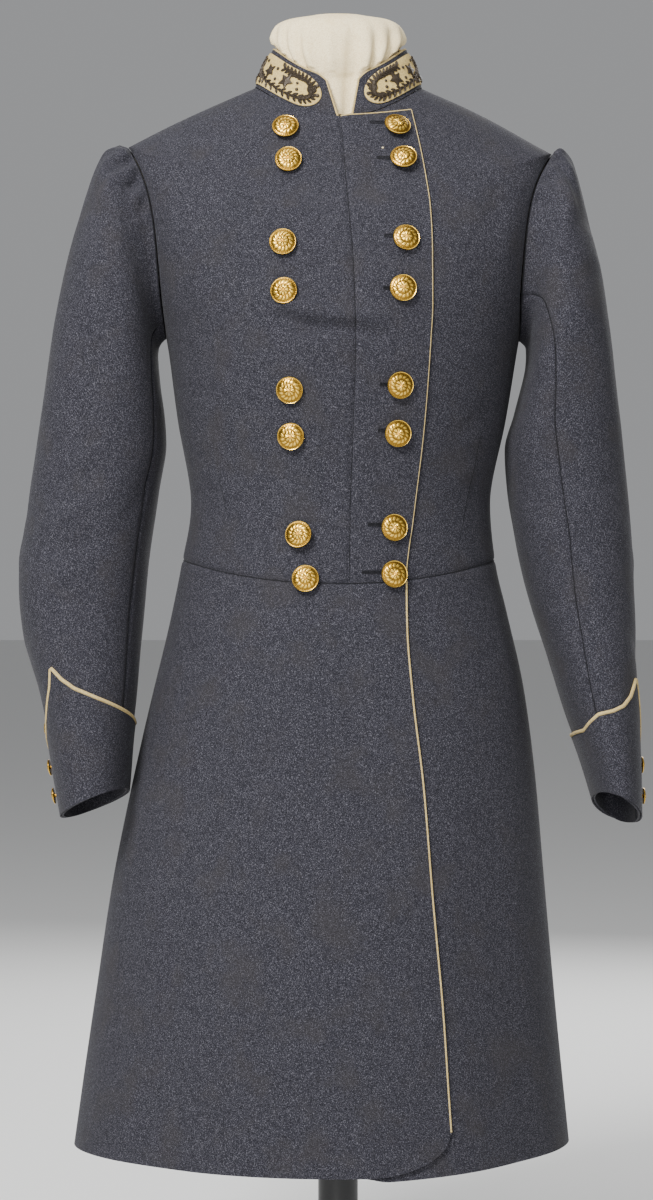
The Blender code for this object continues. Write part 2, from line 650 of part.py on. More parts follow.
class Sleeve:
    """One sleeve's outer surface. A ring number runs from 0 at the armhole to the cuff."""

    def __init__(self, side):
        self.side = side
        rings = RIGHT_RINGS if side < 0 else LEFT_RINGS
        self.last = float(len(rings))
        self.tracks = {}
        for field in Ring._fields:
            scale = 1.0 if field in ("power", "pitch") else MM
            values = [getattr(ring, field) * scale for ring in rings]
            self.tracks[field] = Track([values[0]] + values)
        self.armhole = [self._armhole_point(step) for step in range(2 * ARMHOLE_STEPS)]

    def _armhole_point(self, step):
        """Corner of the armhole: up its front from the underarm, then down its back."""
        front = step <= ARMHOLE_STEPS
        level = armhole_level(step if front else 2 * ARMHOLE_STEPS - step)
        turn = math.radians(self.side * armhole_turn(level, front))
        return BODY.point(turn, level) + np.array((self.side * SLEEVE_GAP, 0.0, 0.0))

    def _armhole_at(self, angle):
        """Point of the armhole's outline at an arm angle in degrees."""
        count = 2 * ARMHOLE_STEPS
        place = ((angle + 90.0) % 360.0) / (360.0 / count)
        start = int(place + 1e-9) % count
        share = max(place - start, 0.0)
        first, second = self.armhole[start], self.armhole[(start + 1) % count]
        return first + (second - first) * min(share, 1.0)

    def _value(self, field, ring):
        return self.tracks[field].at(ring)

    def _section(self, angle, ring):
        """Point of the sleeve's own oval section."""
        out = np.array((self.side * self._value("out_x", ring), self._value("out_z", ring)))
        inner = np.array((self.side * self._value("in_x", ring), self._value("in_z", ring)))
        middle, half = (out + inner) / 2.0, (out - inner) / 2.0
        front, back = self._value("front", ring), self._value("back", ring)
        power = self._value("power", ring)
        across, ahead = math.sin(math.radians(angle)), math.cos(math.radians(angle))
        reach = (abs(across) ** power + abs(ahead) ** power) ** (-1.0 / power)
        forward = (back - front) / 2.0 * reach * ahead
        tip = math.tan(math.radians(self._value("pitch", ring))) * forward
        x, z = middle + half * reach * across
        return np.array((x, (front + back) / 2.0 - forward, z + tip))

    def _gather(self, angle, ring):
        """Height of the small gathers at the sleeve head."""
        if ring <= 0.0 or ring >= GATHER_END:
            return 0.0
        fade = ease(ring / GATHER_FULL) * ease((GATHER_END - ring) / (GATHER_END - GATHER_FULL))
        total = 0.0
        for gather in GATHERS[self.side]:
            away = (angle - gather.angle + 180.0) % 360.0 - 180.0
            total += gather.height * MM * math.exp(-(away / gather.width) ** 2)
        return total * fade

    def _bare(self, angle, ring):
        """Point of the sleeve without its gathers."""
        ring = min(max(ring, 0.0), self.last)
        section = self._section(angle, max(ring, 1.0))
        if ring >= BLEND_RINGS:
            return section
        high = (1.0 + math.sin(math.radians(angle))) / 2.0
        sideways = np.array((1.0, 0.0, 1.0))
        top = (self._section(90.0, max(ring, 1.0)) - self._armhole_at(90.0)) * sideways
        low = (self._section(-90.0, max(ring, 1.0)) - self._armhole_at(-90.0)) * sideways
        start = min(ring, 1.0)
        moved = self._armhole_at(angle) + (top * high + low * (1.0 - high)) * start
        return moved + (section - moved) * ease(ring / BLEND_RINGS)

    def normal(self, angle, ring):
        """Outward direction of the sleeve."""
        low, high = max(ring - RING_STEP, 0.0), min(ring + RING_STEP, self.last)
        along = self._bare(angle + ANGLE_STEP, ring) - self._bare(angle - ANGLE_STEP, ring)
        downward = self._bare(angle, high) - self._bare(angle, low)
        return unit(np.cross(downward, along)) * self.side

    def point(self, angle, ring):
        """Point of the sleeve."""
        bare = self._bare(angle, ring)
        lift = self._gather(angle, ring)
        return bare + self.normal(angle, ring) * lift if lift else bare

    def seam(self, seam, ring):
        """Arm angle of a seam at a ring."""
        if ring < ELBOW_RING:
            return seam.armhole + (seam.elbow - seam.armhole) * ease(ring / ELBOW_RING)
        share = (ring - ELBOW_RING) / (self.last - ELBOW_RING)
        return seam.elbow + (seam.cuff - seam.elbow) * share

    def ring_at(self, angle, height):
        """Ring number where the lower sleeve reaches a height."""
        low, high = ELBOW_RING, self.last
        for _ in range(SEARCH_ROUNDS):
            middle = (low + high) / 2.0
            if self.point(angle, middle)[2] > height:
                low = middle
            else:
                high = middle
        return (low + high) / 2.0

    def sheet(self, rows, columns, place, offset=0.0):
        """Sheet on the sleeve. place(row, column) gives an arm angle and a ring."""
        points, normals = [], []
        for row in rows:
            spots = [place(row, column) for column in columns]
            row_normals = [self.normal(angle, ring) for angle, ring in spots]
            normals.append(row_normals)
            points.append([self.point(*spot) + normal * offset
                           for spot, normal in zip(spots, row_normals)])
        return Sheet(points, normals)


SLEEVES = {side: Sleeve(side) for side in (-1, 1)}


def top_sleeve_columns(side):
    """Arm angles at the armhole of the top sleeve's columns."""
    step = 180.0 / ARMHOLE_STEPS
    angles = []
    if side < 0:
        angles.append(FRONT_SEAM[side].armhole)
    for number, count in enumerate(TOP_STEPS):
        start = -step + number * step
        angles += [start + step * part / count for part in range(count)]
    return angles + [HIND_SEAM[side].armhole]


def under_sleeve_columns(side):
    """Arm angles at the armhole of the under sleeve's columns, from the hind seam on."""
    step = 180.0 / ARMHOLE_STEPS
    count = round((360.0 + FRONT_SEAM[side].armhole - HIND_SEAM[side].armhole) / step)
    first = HIND_SEAM[side].armhole
    return [first + number * step / 2.0 for number in range(2 * count + 1)]


def column_angle(side, armhole_angle, ring):
    """Arm angle at a ring of the column that starts at an angle of the armhole."""
    sleeve = SLEEVES[side]
    front, hind = FRONT_SEAM[side], HIND_SEAM[side]
    front_now, hind_now = sleeve.seam(front, ring), sleeve.seam(hind, ring)
    if armhole_angle <= hind.armhole:
        share = (armhole_angle - front.armhole) / (hind.armhole - front.armhole)
        return front_now + (hind_now - front_now) * share
    share = (armhole_angle - hind.armhole) / (360.0 + front.armhole - hind.armhole)
    return hind_now + (360.0 + front_now - hind_now) * share


def sleeve_panel(side, columns):
    """Panel of a sleeve between its two seams."""
    sleeve = SLEEVES[side]
    rings = [float(number) for number in range(int(sleeve.last) + 1)]
    ordered = columns if side > 0 else columns[::-1]

    def place(ring, armhole_angle):
        return column_angle(side, armhole_angle, ring), ring
    sheet = sleeve.sheet(rings[::-1], ordered, place)
    return sheet.trim(first_row=False, last_row=False)


def top_sleeve_sheet(side):
    """Top sleeve, over the outside of the arm."""
    return sleeve_panel(side, top_sleeve_columns(side))


def under_sleeve_sheet(side):
    """Under sleeve, next to the body."""
    return sleeve_panel(side, under_sleeve_columns(side))


def cuff_columns(side):
    """The sleeve's columns in order, from the hind seam once round to it again."""
    under = [angle - 360.0 for angle in under_sleeve_columns(side)]
    return under + top_sleeve_columns(side)[1:]


def cuff_place(side, armhole_angle, share):
    """Arm angle and ring at a share of a cuff's width, from the sleeve's end upwards."""
    sleeve = SLEEVES[side]
    turned = armhole_angle + (360.0 if armhole_angle < FRONT_SEAM[side].armhole else 0.0)
    edges = CUFF_EDGES[side]
    top = sleeve.last - 1.0
    for _ in range(CUFF_FITS):
        angle = column_angle(side, turned, top)
        shown = angle - (360.0 if turned > armhole_angle else 0.0)
        height = np.interp(shown, [e.angle for e in edges], [e.height * MM for e in edges])
        top = sleeve.ring_at(angle, float(height))
    ring = sleeve.last + (top - sleeve.last) * share
    return column_angle(side, turned, ring), ring


def cuff_sheet(side):
    """Pointed cuff laid round the end of the sleeve, open along the hind seam."""
    columns = cuff_columns(side)
    ordered = columns if side > 0 else columns[::-1]

    def place(share, column):
        return cuff_place(side, column, share)
    sheet = SLEEVES[side].sheet(shares(CUFF_ROWS), ordered, place, CUFF_GAP + THIN_WALL)
    return sheet.trim(first_row=False, last_row=False)


def strip(points, normals, outward, inside, outside, below, above):
    """Mesh data of a four-sided piping along a line of points on a surface.

    outward holds, for each point, the direction in the surface that leads off the cloth.
    """
    rings = []
    for point, normal, way in zip(points, normals, outward):
        rings.append((point + way * inside + normal * above,
                      point + way * outside + normal * above,
                      point + way * outside + normal * below,
                      point + way * inside + normal * below))
    verts = [tuple(corner) for ring in rings for corner in ring]
    faces = [(0, 1, 2, 3)]
    for number in range(len(rings) - 1):
        a = number * 4
        for corner in range(4):
            following = (corner + 1) % 4
            faces.append((a + corner, a + 4 + corner, a + 4 + following, a + following))
    end = (len(rings) - 1) * 4
    faces.append((end + 3, end + 2, end + 1, end))
    return verts, faces


def leading_ways(points, normals, towards):
    """Directions in the surface, square to a line of points, that lead away from it."""
    ways = []
    last = len(points) - 1
    for number, normal in enumerate(normals):
        along = points[min(number + 1, last)] - points[max(number - 1, 0)]
        way = unit(np.cross(along, normal))
        ways.append(way if np.dot(way, towards[number]) > 0 else -way)
    return ways


def edge_piping(points, normals, towards):
    """Piping just outside a cloth's edge, as thick as the cloth and a little proud."""
    ways = leading_ways(points, normals, towards)
    return strip(points, normals, ways, TOUCH_GAP, TOUCH_GAP + EDGE_PIPING,
                 -WALL + TOUCH_GAP / 2, EDGE_PIPING_PROUD)


def lapel_piping():
    """Piping down the right lapel's free edge."""
    sheet = right_lapel_sheet()
    points, normals = sheet.points[:, -1], sheet.normals[:, -1]
    return edge_piping(points, normals, points - sheet.points[:, -2])


def skirt_piping():
    """Piping down the right skirt's front edge, round its corner."""
    sheet = right_skirt_sheet()
    points, normals = sheet.points[:, -1], sheet.normals[:, -1]
    return edge_piping(points, normals, points - sheet.points[:, -2])


def cuff_piping(side):
    """Piping along a cuff's pointed upper edge, lying on the sleeve."""
    sleeve = SLEEVES[side]
    spots = [cuff_place(side, column, 1.0) for column in cuff_columns(side)]
    points = [sleeve.point(*spot) for spot in spots]
    normals = [sleeve.normal(*spot) for spot in spots]
    for end, inner in ((0, 1), (-1, -2)):
        points[end] = points[end] + unit(points[inner] - points[end]) * PIPING_END_GAP
    upward = [unit(UP - normal * normal[2]) for normal in normals]
    square = leading_ways(points, normals, upward)
    ways = [unit(way + up * PIPING_UPRIGHT) for way, up in zip(square, upward)]
    return strip(points, normals, ways, TOUCH_GAP, TOUCH_GAP + PIPING_WIDE,
                 CUFF_GAP, CUFF_GAP + PIPING_HIGH)


class Collar:
    """The standing collar's outer surface, leaning in from the neck to its top."""

    def __init__(self):
        self.top = {name: getattr(COLLAR_TOP, name) * MM for name in Level._fields[1:]
                    if name != "power"}

    def _top_point(self, turn):
        across, ahead = math.sin(turn), math.cos(turn)
        left = across >= 0
        half = self.top["half_l" if left else "half_r"]
        deep = self.top["deep_front" if ahead >= 0 else "deep_back"]
        reach = ((across / half) ** 2 + (ahead / deep) ** 2) ** -0.5
        share = (reach * ahead / deep) ** 2
        side = self.top["side_l" if left else "side_r"]
        end = self.top["front" if ahead >= 0 else "back"]
        return np.array((reach * across, self.top["centre"] - reach * ahead,
                         side + (end - side) * share))

    def point(self, turn, rise):
        """Point at a turn and a share of the collar's height."""
        foot = BODY.point(turn, NECK) + np.array((0.0, 0.0, COLLAR_FOOT_GAP))
        return foot + (self._top_point(turn) - foot) * rise

    def normal(self, turn, rise):
        """Outward direction of the collar."""
        along = self.point(turn + TURN_STEP, rise) - self.point(turn - TURN_STEP, rise)
        upward = self.point(turn, 1.0) - self.point(turn, 0.0)
        return unit(np.cross(along, upward))

    def turn_at(self, x, rise):
        """Turn of the place on the collar's front that lies x to the wearer's left."""
        low, high = -math.pi / 2.0, math.pi / 2.0
        for _ in range(SEARCH_ROUNDS):
            middle = (low + high) / 2.0
            if self.point(middle, rise)[0] < x:
                low = middle
            else:
                high = middle
        return (low + high) / 2.0

    def sheet(self, rows, columns, place, offset=0.0):
        """Sheet on the collar. place(row, column) gives a turn and a share of height."""
        points, normals = [], []
        for row in rows:
            spots = [place(row, column) for column in columns]
            row_normals = [self.normal(*spot) for spot in spots]
            normals.append(row_normals)
            points.append([self.point(*spot) + normal * offset
                           for spot, normal in zip(spots, row_normals)])
        return Sheet(points, normals)


COLLAR = Collar()


def collar_place(row, column):
    """Turn and height share on the collar, from its left end round to its right end."""
    left_x = COLLAR_END_FOOT_L + (COLLAR_END_TOP_L - COLLAR_END_FOOT_L) * row
    right_x = COLLAR_END_FOOT_R + (COLLAR_END_TOP_R - COLLAR_END_FOOT_R) * row
    start = COLLAR.turn_at(left_x, row)
    end = 2.0 * math.pi + COLLAR.turn_at(right_x, row)
    from_end = min(column, 1.0 - column) * COLLAR_STEPS
    cut = 1.0 - COLLAR_CORNER * max(0.0, 1.0 - from_end) ** 2
    return start + (end - start) * column, row * cut


def collar_sheet():
    """Standing collar, open at the front."""
    return COLLAR.sheet(shares(COLLAR_ROWS), shares(COLLAR_STEPS), collar_place)


def collar_piping():
    """Piping up one front end of the collar, along its top and down the other end."""
    sheet = collar_sheet()
    rows = list(range(COLLAR_ROWS + 1))
    path = [(row, 0) for row in rows] + [(COLLAR_ROWS, column) for column in
                                        range(1, COLLAR_STEPS)]
    path += [(row, COLLAR_STEPS) for row in rows[::-1]]
    points = [sheet.points[spot] for spot in path]
    normals = [sheet.normals[spot] for spot in path]
    towards = []
    for (row, column), point in zip(path, points):
        if 0 < column < COLLAR_STEPS:
            towards.append(UP)
        else:
            inner = sheet.points[row, 1 if column == 0 else COLLAR_STEPS - 1]
            towards.append(point - inner)
    return edge_piping(points, normals, towards)


def patch_sheet(side):
    """Patch on one side of the collar, with a round front end."""
    front_x = PATCH_FRONT_R if side < 0 else PATCH_FRONT_L
    middle = (PATCH_LOW + PATCH_HIGH) / 2.0
    half = (PATCH_HIGH - PATCH_LOW) / 2.0

    def place(row, column):
        front = COLLAR.turn_at(front_x, middle)
        back = side * math.radians(PATCH_BACK_TURN)
        into = max(0.0, 1.0 - column / PATCH_ROUND)
        height = half * max(math.sqrt(1.0 - into * into), PATCH_BLUNT)
        return front + (back - front) * column, middle + height * (2.0 * row - 1.0)
    columns = [share ** PATCH_FRONT_FINE for share in shares(PATCH_STEPS)]
    ordered = columns if side > 0 else columns[::-1]
    return COLLAR.sheet(shares(PATCH_ROWS), ordered, place, LAY_GAP + THIN_WALL)


def form_inset(turn, level):
    """How far the form lies inside the coat's outer surface."""
    share = ease((level - FORM_RISE_START) / (FORM_RISE_END - FORM_RISE_START))
    from_side = abs(math.degrees(turn) % 180.0 - SIDE_SEAM)
    ridge = math.exp(-(from_side / FORM_RIDGE) ** 2)
    upper = FORM_SHOULDER + (FORM_TOUCH - FORM_SHOULDER) * ridge
    lower = FORM_CLEAR + FORM_TAPER * ease((WAIST_SEAM - level) / FORM_TAPER_LEVELS)
    return lower + (upper - lower) * share


def form_neck_point(ring, turn):
    """Point of the form's own neck."""
    foot = BODY.point(turn, NECK)[2] + FORM_FOOT_RISE
    height = foot + (FORM_NECK_TOP - foot) * ring.rise
    return np.array((ring.half_x * MM * math.sin(turn),
                     NECK_CENTRE - ring.half_y * MM * math.cos(turn), height))


def cover_point(ring, turn):
    """Point of the neck's cloth cover, which spreads over the collar's top."""
    foot = BODY.point(turn, NECK)[2] + COVER_FOOT_RISE
    brim = COLLAR.point(turn, 1.0)[2] + COLLAR_BRIM_RISE
    if ring.rise <= BRIM_SHARE:
        height = foot + (brim - foot) * ring.rise / BRIM_SHARE
    else:
        share = (ring.rise - BRIM_SHARE) / (1.0 - BRIM_SHARE)
        height = brim + (COVER_TOP - brim) * share
    across, ahead = math.sin(turn), math.cos(turn)
    drift = COVER_FOLD_DRIFT * math.sin(2.0 * turn)
    gathers = math.cos(COVER_FOLDS * turn + drift) * COVER_FOLD
    gathers *= ease((1.0 - ring.rise) / COVER_FOLD_FADE)
    gathers *= COVER_FOLD_BACK + (1.0 - COVER_FOLD_BACK) * ease(ahead)
    half_x, half_y = ring.half_x * MM + gathers, ring.half_y * MM + gathers
    return np.array((half_x * across, NECK_CENTRE - half_y * ahead, height))


def loft(rings):
    """Mesh data of a solid through closed rings, capped flat at both ends."""
    columns = len(rings[0])
    verts = [tuple(point) for ring in rings for point in ring]
    faces = [tuple(range(columns))[::-1]]
    for row in range(len(rings) - 1):
        for column in range(columns):
            a = row * columns + column
            b = row * columns + (column + 1) % columns
            faces.append((a, b, b + columns, a + columns))
    top = (len(rings) - 1) * columns
    faces.append(tuple(range(top, top + columns)))
    return verts, faces


def form_body():
    """Limbless torso and neck of the dress form."""
    turns = [2.0 * math.pi * number / FORM_COLUMNS for number in range(FORM_COLUMNS)]
    rings = []
    for level in FORM_LEVELS:
        ring = []
        for turn in turns:
            point = BODY.point(turn, level) - BODY.normal(turn, level) * form_inset(turn, level)
            if level == FORM_LEVELS[0]:
                point[2] = FORM_BOTTOM
            ring.append(point)
        rings.append(ring)
    for neck_ring in FORM_NECK_RINGS:
        rings.append([form_neck_point(neck_ring, turn) for turn in turns])
    return loft(rings)


def neck_cover():
    """White cloth over the form's neck, a closed wall gathered down into the collar."""
    turns = [2.0 * math.pi * number / COVER_COLUMNS for number in range(COVER_COLUMNS)]
    outer = [[cover_point(ring, turn) for turn in turns] for ring in COVER_RINGS]
    inner = []
    for number, ring in enumerate(outer):
        inner_ring = []
        for column, point in enumerate(ring):
            above = outer[min(number + 1, len(outer) - 1)][column]
            below = outer[max(number - 1, 0)][column]
            side = ring[(column + 1) % COVER_COLUMNS] - ring[column - 1]
            normal = unit(np.cross(side, above - below))
            inner_ring.append(point - normal * COVER_WALL)
        inner.append(inner_ring)
    rows, columns = len(outer), COVER_COLUMNS
    verts, faces = wall_between(np.array(outer), np.array(inner), closed=True)
    count = rows * columns
    top_rim = {(rows - 1) * columns + column for column in range(columns)}
    top_rim |= {number + count for number in top_rim}
    faces = [face for face in faces if not set(face) <= top_rim]
    outer_top = [(rows - 1) * columns + column for column in range(columns)]
    inner_top = [number + count for number in outer_top]
    faces.append(tuple(outer_top))
    faces.append(tuple(inner_top[::-1]))
    return verts, faces


def collection_for(name):
    """New collection in the scene."""
    collection = bpy.data.collections.new(name)
    bpy.context.scene.collection.children.link(collection)
    return collection


def material_for(finish, node):
    """Plain material of one node."""
    material = bpy.data.materials.new(f"{finish.name}_{node}")
    material.use_nodes = True
    shader = material.node_tree.nodes["Principled BSDF"]
    shader.inputs["Base Color"].default_value = finish.color
    shader.inputs["Roughness"].default_value = finish.roughness
    shader.inputs["Metallic"].default_value = finish.metallic
    return material


def add_node(collection, name, data, finish):
    """Object from mesh data, with outward faces and smooth shading."""
    mesh = bpy.data.meshes.new(name)
    verts, faces = data
    mesh.from_pydata([Vector(vert) for vert in verts], [], faces)
    work = bmesh.new()
    work.from_mesh(mesh)
    bmesh.ops.recalc_face_normals(work, faces=work.faces)
    bmesh.ops.triangulate(work, faces=work.faces, quad_method="SHORT_EDGE")
    work.to_mesh(mesh)
    work.free()
    mesh.shade_smooth()
    mesh.set_sharp_from_angle(angle=math.radians(SMOOTH_ANGLE))
    mesh.materials.append(material_for(finish, name))
    item = bpy.data.objects.new(name, mesh)
    collection.objects.link(item)
    return item


def add_turned(collection, name, profile, steps, finish):
    """Object turned round Z from a profile that runs down its outer side."""
    mesh = bpy.data.meshes.new(name)
    edges = [(number, number + 1) for number in range(len(profile) - 1)]
    mesh.from_pydata([(radius, 0.0, height) for radius, height in profile], edges, [])
    mesh.materials.append(material_for(finish, name))
    item = bpy.data.objects.new(name, mesh)
    collection.objects.link(item)
    screw = item.modifiers.new("turn", "SCREW")
    screw.steps = steps
    screw.render_steps = steps
    screw.use_merge_vertices = True
    screw.merge_threshold = MERGE_NEAR
    return item


def button_profile(radius):
    """Domed button with a shank, from its crown down to the shank's end."""
    dome, rim, plate = radius * DOME_SHARE, radius * RIM_SHARE, radius * PLATE_SHARE
    shank = radius * SHANK_SHARE
    return [(0.0, dome), (radius * SHOULDER_OUT, dome * SHOULDER_HIGH), (radius, rim),
            (radius * PLATE_OUT, plate), (shank, plate), (shank, TOUCH_GAP), (0.0, TOUCH_GAP)]


def add_button(collection, name, radius, steps, place, normal, nod=0.0, swing=0.0):
    """Button seated on a surface point, facing along the surface's normal."""
    item = add_turned(collection, name, button_profile(radius), steps, BRASS)
    facing = Vector(normal)
    turn = facing.to_track_quat("Z", "Y")
    item.rotation_mode = "QUATERNION"
    leaning = Vector((math.sin(math.radians(swing)), math.sin(math.radians(nod)), 1.0))
    tilt = Vector((0.0, 0.0, 1.0)).rotation_difference(leaning.normalized())
    item.rotation_quaternion = turn @ tilt
    lift = TILT_LIFT * max(abs(nod), abs(swing)) / 10.0
    item.location = Vector(place) + facing * lift
    return item


def seat_on(tree, place, normal):
    """Place moved along the normal onto the nearest face of a panel's tree."""
    start = Vector(place) + Vector(normal) * SEAT_REACH
    found = tree.ray_cast(start, -Vector(normal), 2.0 * SEAT_REACH)[0]
    return place if found is None else np.array(found)


def add_front_buttons(collection):
    """Two columns of domed buttons down the front."""
    forepart = BVHTree.FromPolygons(*front_sheet(-1).wall(WALL))
    lapel = BVHTree.FromPolygons(*right_lapel_sheet().wall(WALL))
    for button in FRONT_BUTTONS:
        x = button.x * MM

        def turn_of(level, x=x):
            return BODY.turn_at(x, level)
        level = BODY.level_at(turn_of, button.z * MM, WAIST_SEAM - 1.0, float(NECK))
        turn = turn_of(level)
        normal = BODY.normal(turn, level)
        place = BODY.point(turn, level) + normal * right_lift(turn, level)
        seat = seat_on(forepart if x < 0 else lapel, place, normal)
        add_button(collection, f"button_{button.name}", FRONT_BUTTON_RADIUS,
                   FRONT_BUTTON_STEPS, seat, normal, button.nod, button.swing)


def add_cuff_buttons(collection):
    """Three small buttons up the hind seam of each sleeve."""
    for side, word in ((-1, "right"), (1, "left")):
        sleeve = SLEEVES[side]
        for number, height in enumerate(CUFF_BUTTON_HEIGHTS[side], start=1):
            ring = sleeve.ring_at(HIND_SEAM[side].cuff, height)
            angle = sleeve.seam(HIND_SEAM[side], ring)
            ring = sleeve.ring_at(angle, height)
            normal = sleeve.normal(angle, ring)
            lift = 0.0 if number == 1 else CUFF_GAP + THIN_WALL + TOUCH_GAP
            place = sleeve.point(angle, ring) + normal * lift
            add_button(collection, f"button_cuff_{word}_{number}", CUFF_BUTTON_RADIUS,
                       SMALL_BUTTON_STEPS, place, normal)


def add_hip_buttons(collection):
    """Two buttons at the back of the waist, over the tops of the pleats."""
    for side, word in ((-1, "right"), (1, "left")):
        level = WAIST_SEAM - HIP_BUTTON_BELOW
        turn = side * (math.pi - math.asin(HIP_BUTTON_X / BODY.value("half_r", level)))
        normal = BODY.normal(turn, level)
        lift = left_skirt_lift(turn, level) if side > 0 else 0.0
        place = BODY.point(turn, level) + normal * lift
        add_button(collection, f"button_hip_{word}", HIP_BUTTON_RADIUS,
                   SMALL_BUTTON_STEPS, place, normal)


def add_stand(collection):
    """Round base with a boss, and the pole that carries the form."""
    profile = [(0.0, BOSS_TOP), (BOSS_RADIUS - BASE_EDGE, BOSS_TOP),
               (BOSS_RADIUS, BOSS_TOP - BASE_EDGE), (BOSS_RADIUS, BASE_THICK),
               (BASE_RADIUS - BASE_EDGE, BASE_THICK), (BASE_RADIUS, BASE_THICK - BASE_EDGE),
               (BASE_RADIUS, 0.0), (0.0, 0.0)]
    add_turned(collection, "form_base", profile, ROUND_STEPS, STAND)
    foot, top = BOSS_TOP + TOUCH_GAP, FORM_BOTTOM - TOUCH_GAP
    bpy.ops.mesh.primitive_cylinder_add(vertices=POLE_STEPS, radius=POLE_RADIUS,
                                        depth=top - foot, location=(0, 0, (foot + top) / 2))
    pole = bpy.context.active_object
    pole.name = "form_pole"
    pole.data.materials.append(material_for(STAND, "form_pole"))
    for holder in list(pole.users_collection):
        holder.objects.unlink(pole)
    collection.objects.link(pole)


def main():
    """Build every piece."""
    clear_scene()
    coat = collection_for("frock_coat_on_dress_form")
    for side, word in ((-1, "right"), (1, "left")):
        add_node(coat, f"front_{word}", front_sheet(side).wall(WALL), WOOL)
        add_node(coat, f"side_body_{word}", side_body_sheet(side).wall(WALL), WOOL)
        add_node(coat, f"back_{word}", back_sheet(side).wall(WALL), WOOL)
        add_node(coat, f"top_sleeve_{word}", top_sleeve_sheet(side).wall(WALL), WOOL)
        add_node(coat, f"under_sleeve_{word}", under_sleeve_sheet(side).wall(WALL), WOOL)
        add_node(coat, f"cuff_{word}", cuff_sheet(side).wall(THIN_WALL), WOOL)
        add_node(coat, f"piping_cuff_{word}", cuff_piping(side), PIPING)
        add_node(coat, f"collar_patch_{word}", patch_sheet(side).wall(THIN_WALL), PATCH)
    add_node(coat, "lapel_right", right_lapel_sheet().wall(WALL), WOOL)
    add_node(coat, "lapel_left", left_lapel_sheet().wall(WALL), WOOL)
    add_node(coat, "skirt_right", right_skirt_sheet().wall(WALL), WOOL)
    add_node(coat, "skirt_left", left_skirt_sheet().wall(WALL), WOOL)
    add_node(coat, "collar", collar_sheet().wall(WALL), WOOL)
    add_node(coat, "piping_collar", collar_piping(), PIPING)
    add_node(coat, "piping_lapel", lapel_piping(), PIPING)
    add_node(coat, "piping_skirt", skirt_piping(), PIPING)
    add_front_buttons(coat)
    add_cuff_buttons(coat)
    add_hip_buttons(coat)
    add_node(coat, "form_body", form_body(), FORM)
    add_node(coat, "form_neck_cover", neck_cover(), COVER)
    add_stand(coat)


main()
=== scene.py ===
"""Frock coat on a limbless dress form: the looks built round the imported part.

The coat's cloth is rebuilt as finer shells on the same surfaces as the solids, with creases,
pressed seams, buttonholes, rounded piping, stamped buttons and embroidery added.

Metres, +Z up, the origin under the middle of the stand, and the front faces -Y. "right" and
"left" are the wearer's, so left is +X. A turn is an angle round the body, 0 at the front
centre and positive to the wearer's left. A level is a place in LEVELS, from the hem at 0 up
to the neck. An arm angle runs round a sleeve: 90 degrees on its outer side, 0 at its front.
"""

import json
import logging
import math
from dataclasses import dataclass
from enum import Enum
from typing import Iterable, NamedTuple, Sequence

import bmesh
import bpy
import numpy as np
from mathutils import Matrix, Vector

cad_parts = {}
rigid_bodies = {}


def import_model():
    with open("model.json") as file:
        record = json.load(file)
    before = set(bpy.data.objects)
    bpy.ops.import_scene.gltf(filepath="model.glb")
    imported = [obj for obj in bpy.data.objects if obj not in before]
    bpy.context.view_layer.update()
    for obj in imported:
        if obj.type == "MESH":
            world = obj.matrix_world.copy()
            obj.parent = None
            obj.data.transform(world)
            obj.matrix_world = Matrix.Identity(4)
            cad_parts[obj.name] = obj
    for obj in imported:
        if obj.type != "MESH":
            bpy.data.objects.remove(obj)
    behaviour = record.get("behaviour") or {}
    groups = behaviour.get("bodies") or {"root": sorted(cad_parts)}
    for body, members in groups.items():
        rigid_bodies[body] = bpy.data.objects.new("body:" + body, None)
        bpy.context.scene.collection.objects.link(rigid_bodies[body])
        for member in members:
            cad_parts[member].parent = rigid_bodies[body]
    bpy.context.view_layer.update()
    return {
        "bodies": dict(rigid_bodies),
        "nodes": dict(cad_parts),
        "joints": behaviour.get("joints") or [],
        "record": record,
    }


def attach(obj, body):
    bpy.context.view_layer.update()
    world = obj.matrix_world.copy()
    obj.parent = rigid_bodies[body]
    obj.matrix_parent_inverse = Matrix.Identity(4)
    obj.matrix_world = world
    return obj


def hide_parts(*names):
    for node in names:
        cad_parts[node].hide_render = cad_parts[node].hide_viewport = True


LOG = logging.getLogger("frock_coat")

MM = 0.001
SHELL = 0.0016              # thickness of the shown body cloth
THIN_SHELL = 0.0010         # thickness of the shown cuffs and patches
FACE_PROUD = 0.0002         # the shown cloth lies this much outside the solid's face
SEAM_HALF = 0.00020         # each panel's share of the gap at a shown seam
CUFF_RISE = 0.0021          # cuff's outer face above the sleeve
PATCH_RISE = 0.0017         # patch's outer face above the collar
LAP_LIFT = 0.0028           # how far the right fronts stand off the left ones
LAP_FULL, LAP_NONE = -35.0, -62.0       # turns where that stand-off is whole, and where it ends
SLEEVE_GAP = 0.0010         # between an armhole's edge and its sleeve
SEED = 11
FULL_SIZE = (1.0, 1.0, 1.0)

# Spans over which slopes are measured, and halvings of a search.
TURN_SPAN, LEVEL_SPAN, ANGLE_SPAN, RING_SPAN = 0.02, 0.04, 2.0, 0.08
HALVINGS, SLEEVE_HALVINGS, CUFF_ROUNDS = 40, 30, 4

# Borders of a panel: the rows beside them, and how they turn in to their seam.
BORDER_STEPS = (0.0010, 0.0022)
ROLL_DEPTH, ROLL_WIDTH = 0.0012, 0.0019
FLUTE_FADE = 0.5            # levels below the waist seam over which the flutes begin

# Slow unevenness: metres from wave to wave, height in metres, and seed.
BODY_WAVES = (0.11, 0.0007)
SLEEVE_WAVES = (0.10, 0.0009, 5.0)
TRIM_WAVES = (0.05, 0.0003, 7.0)

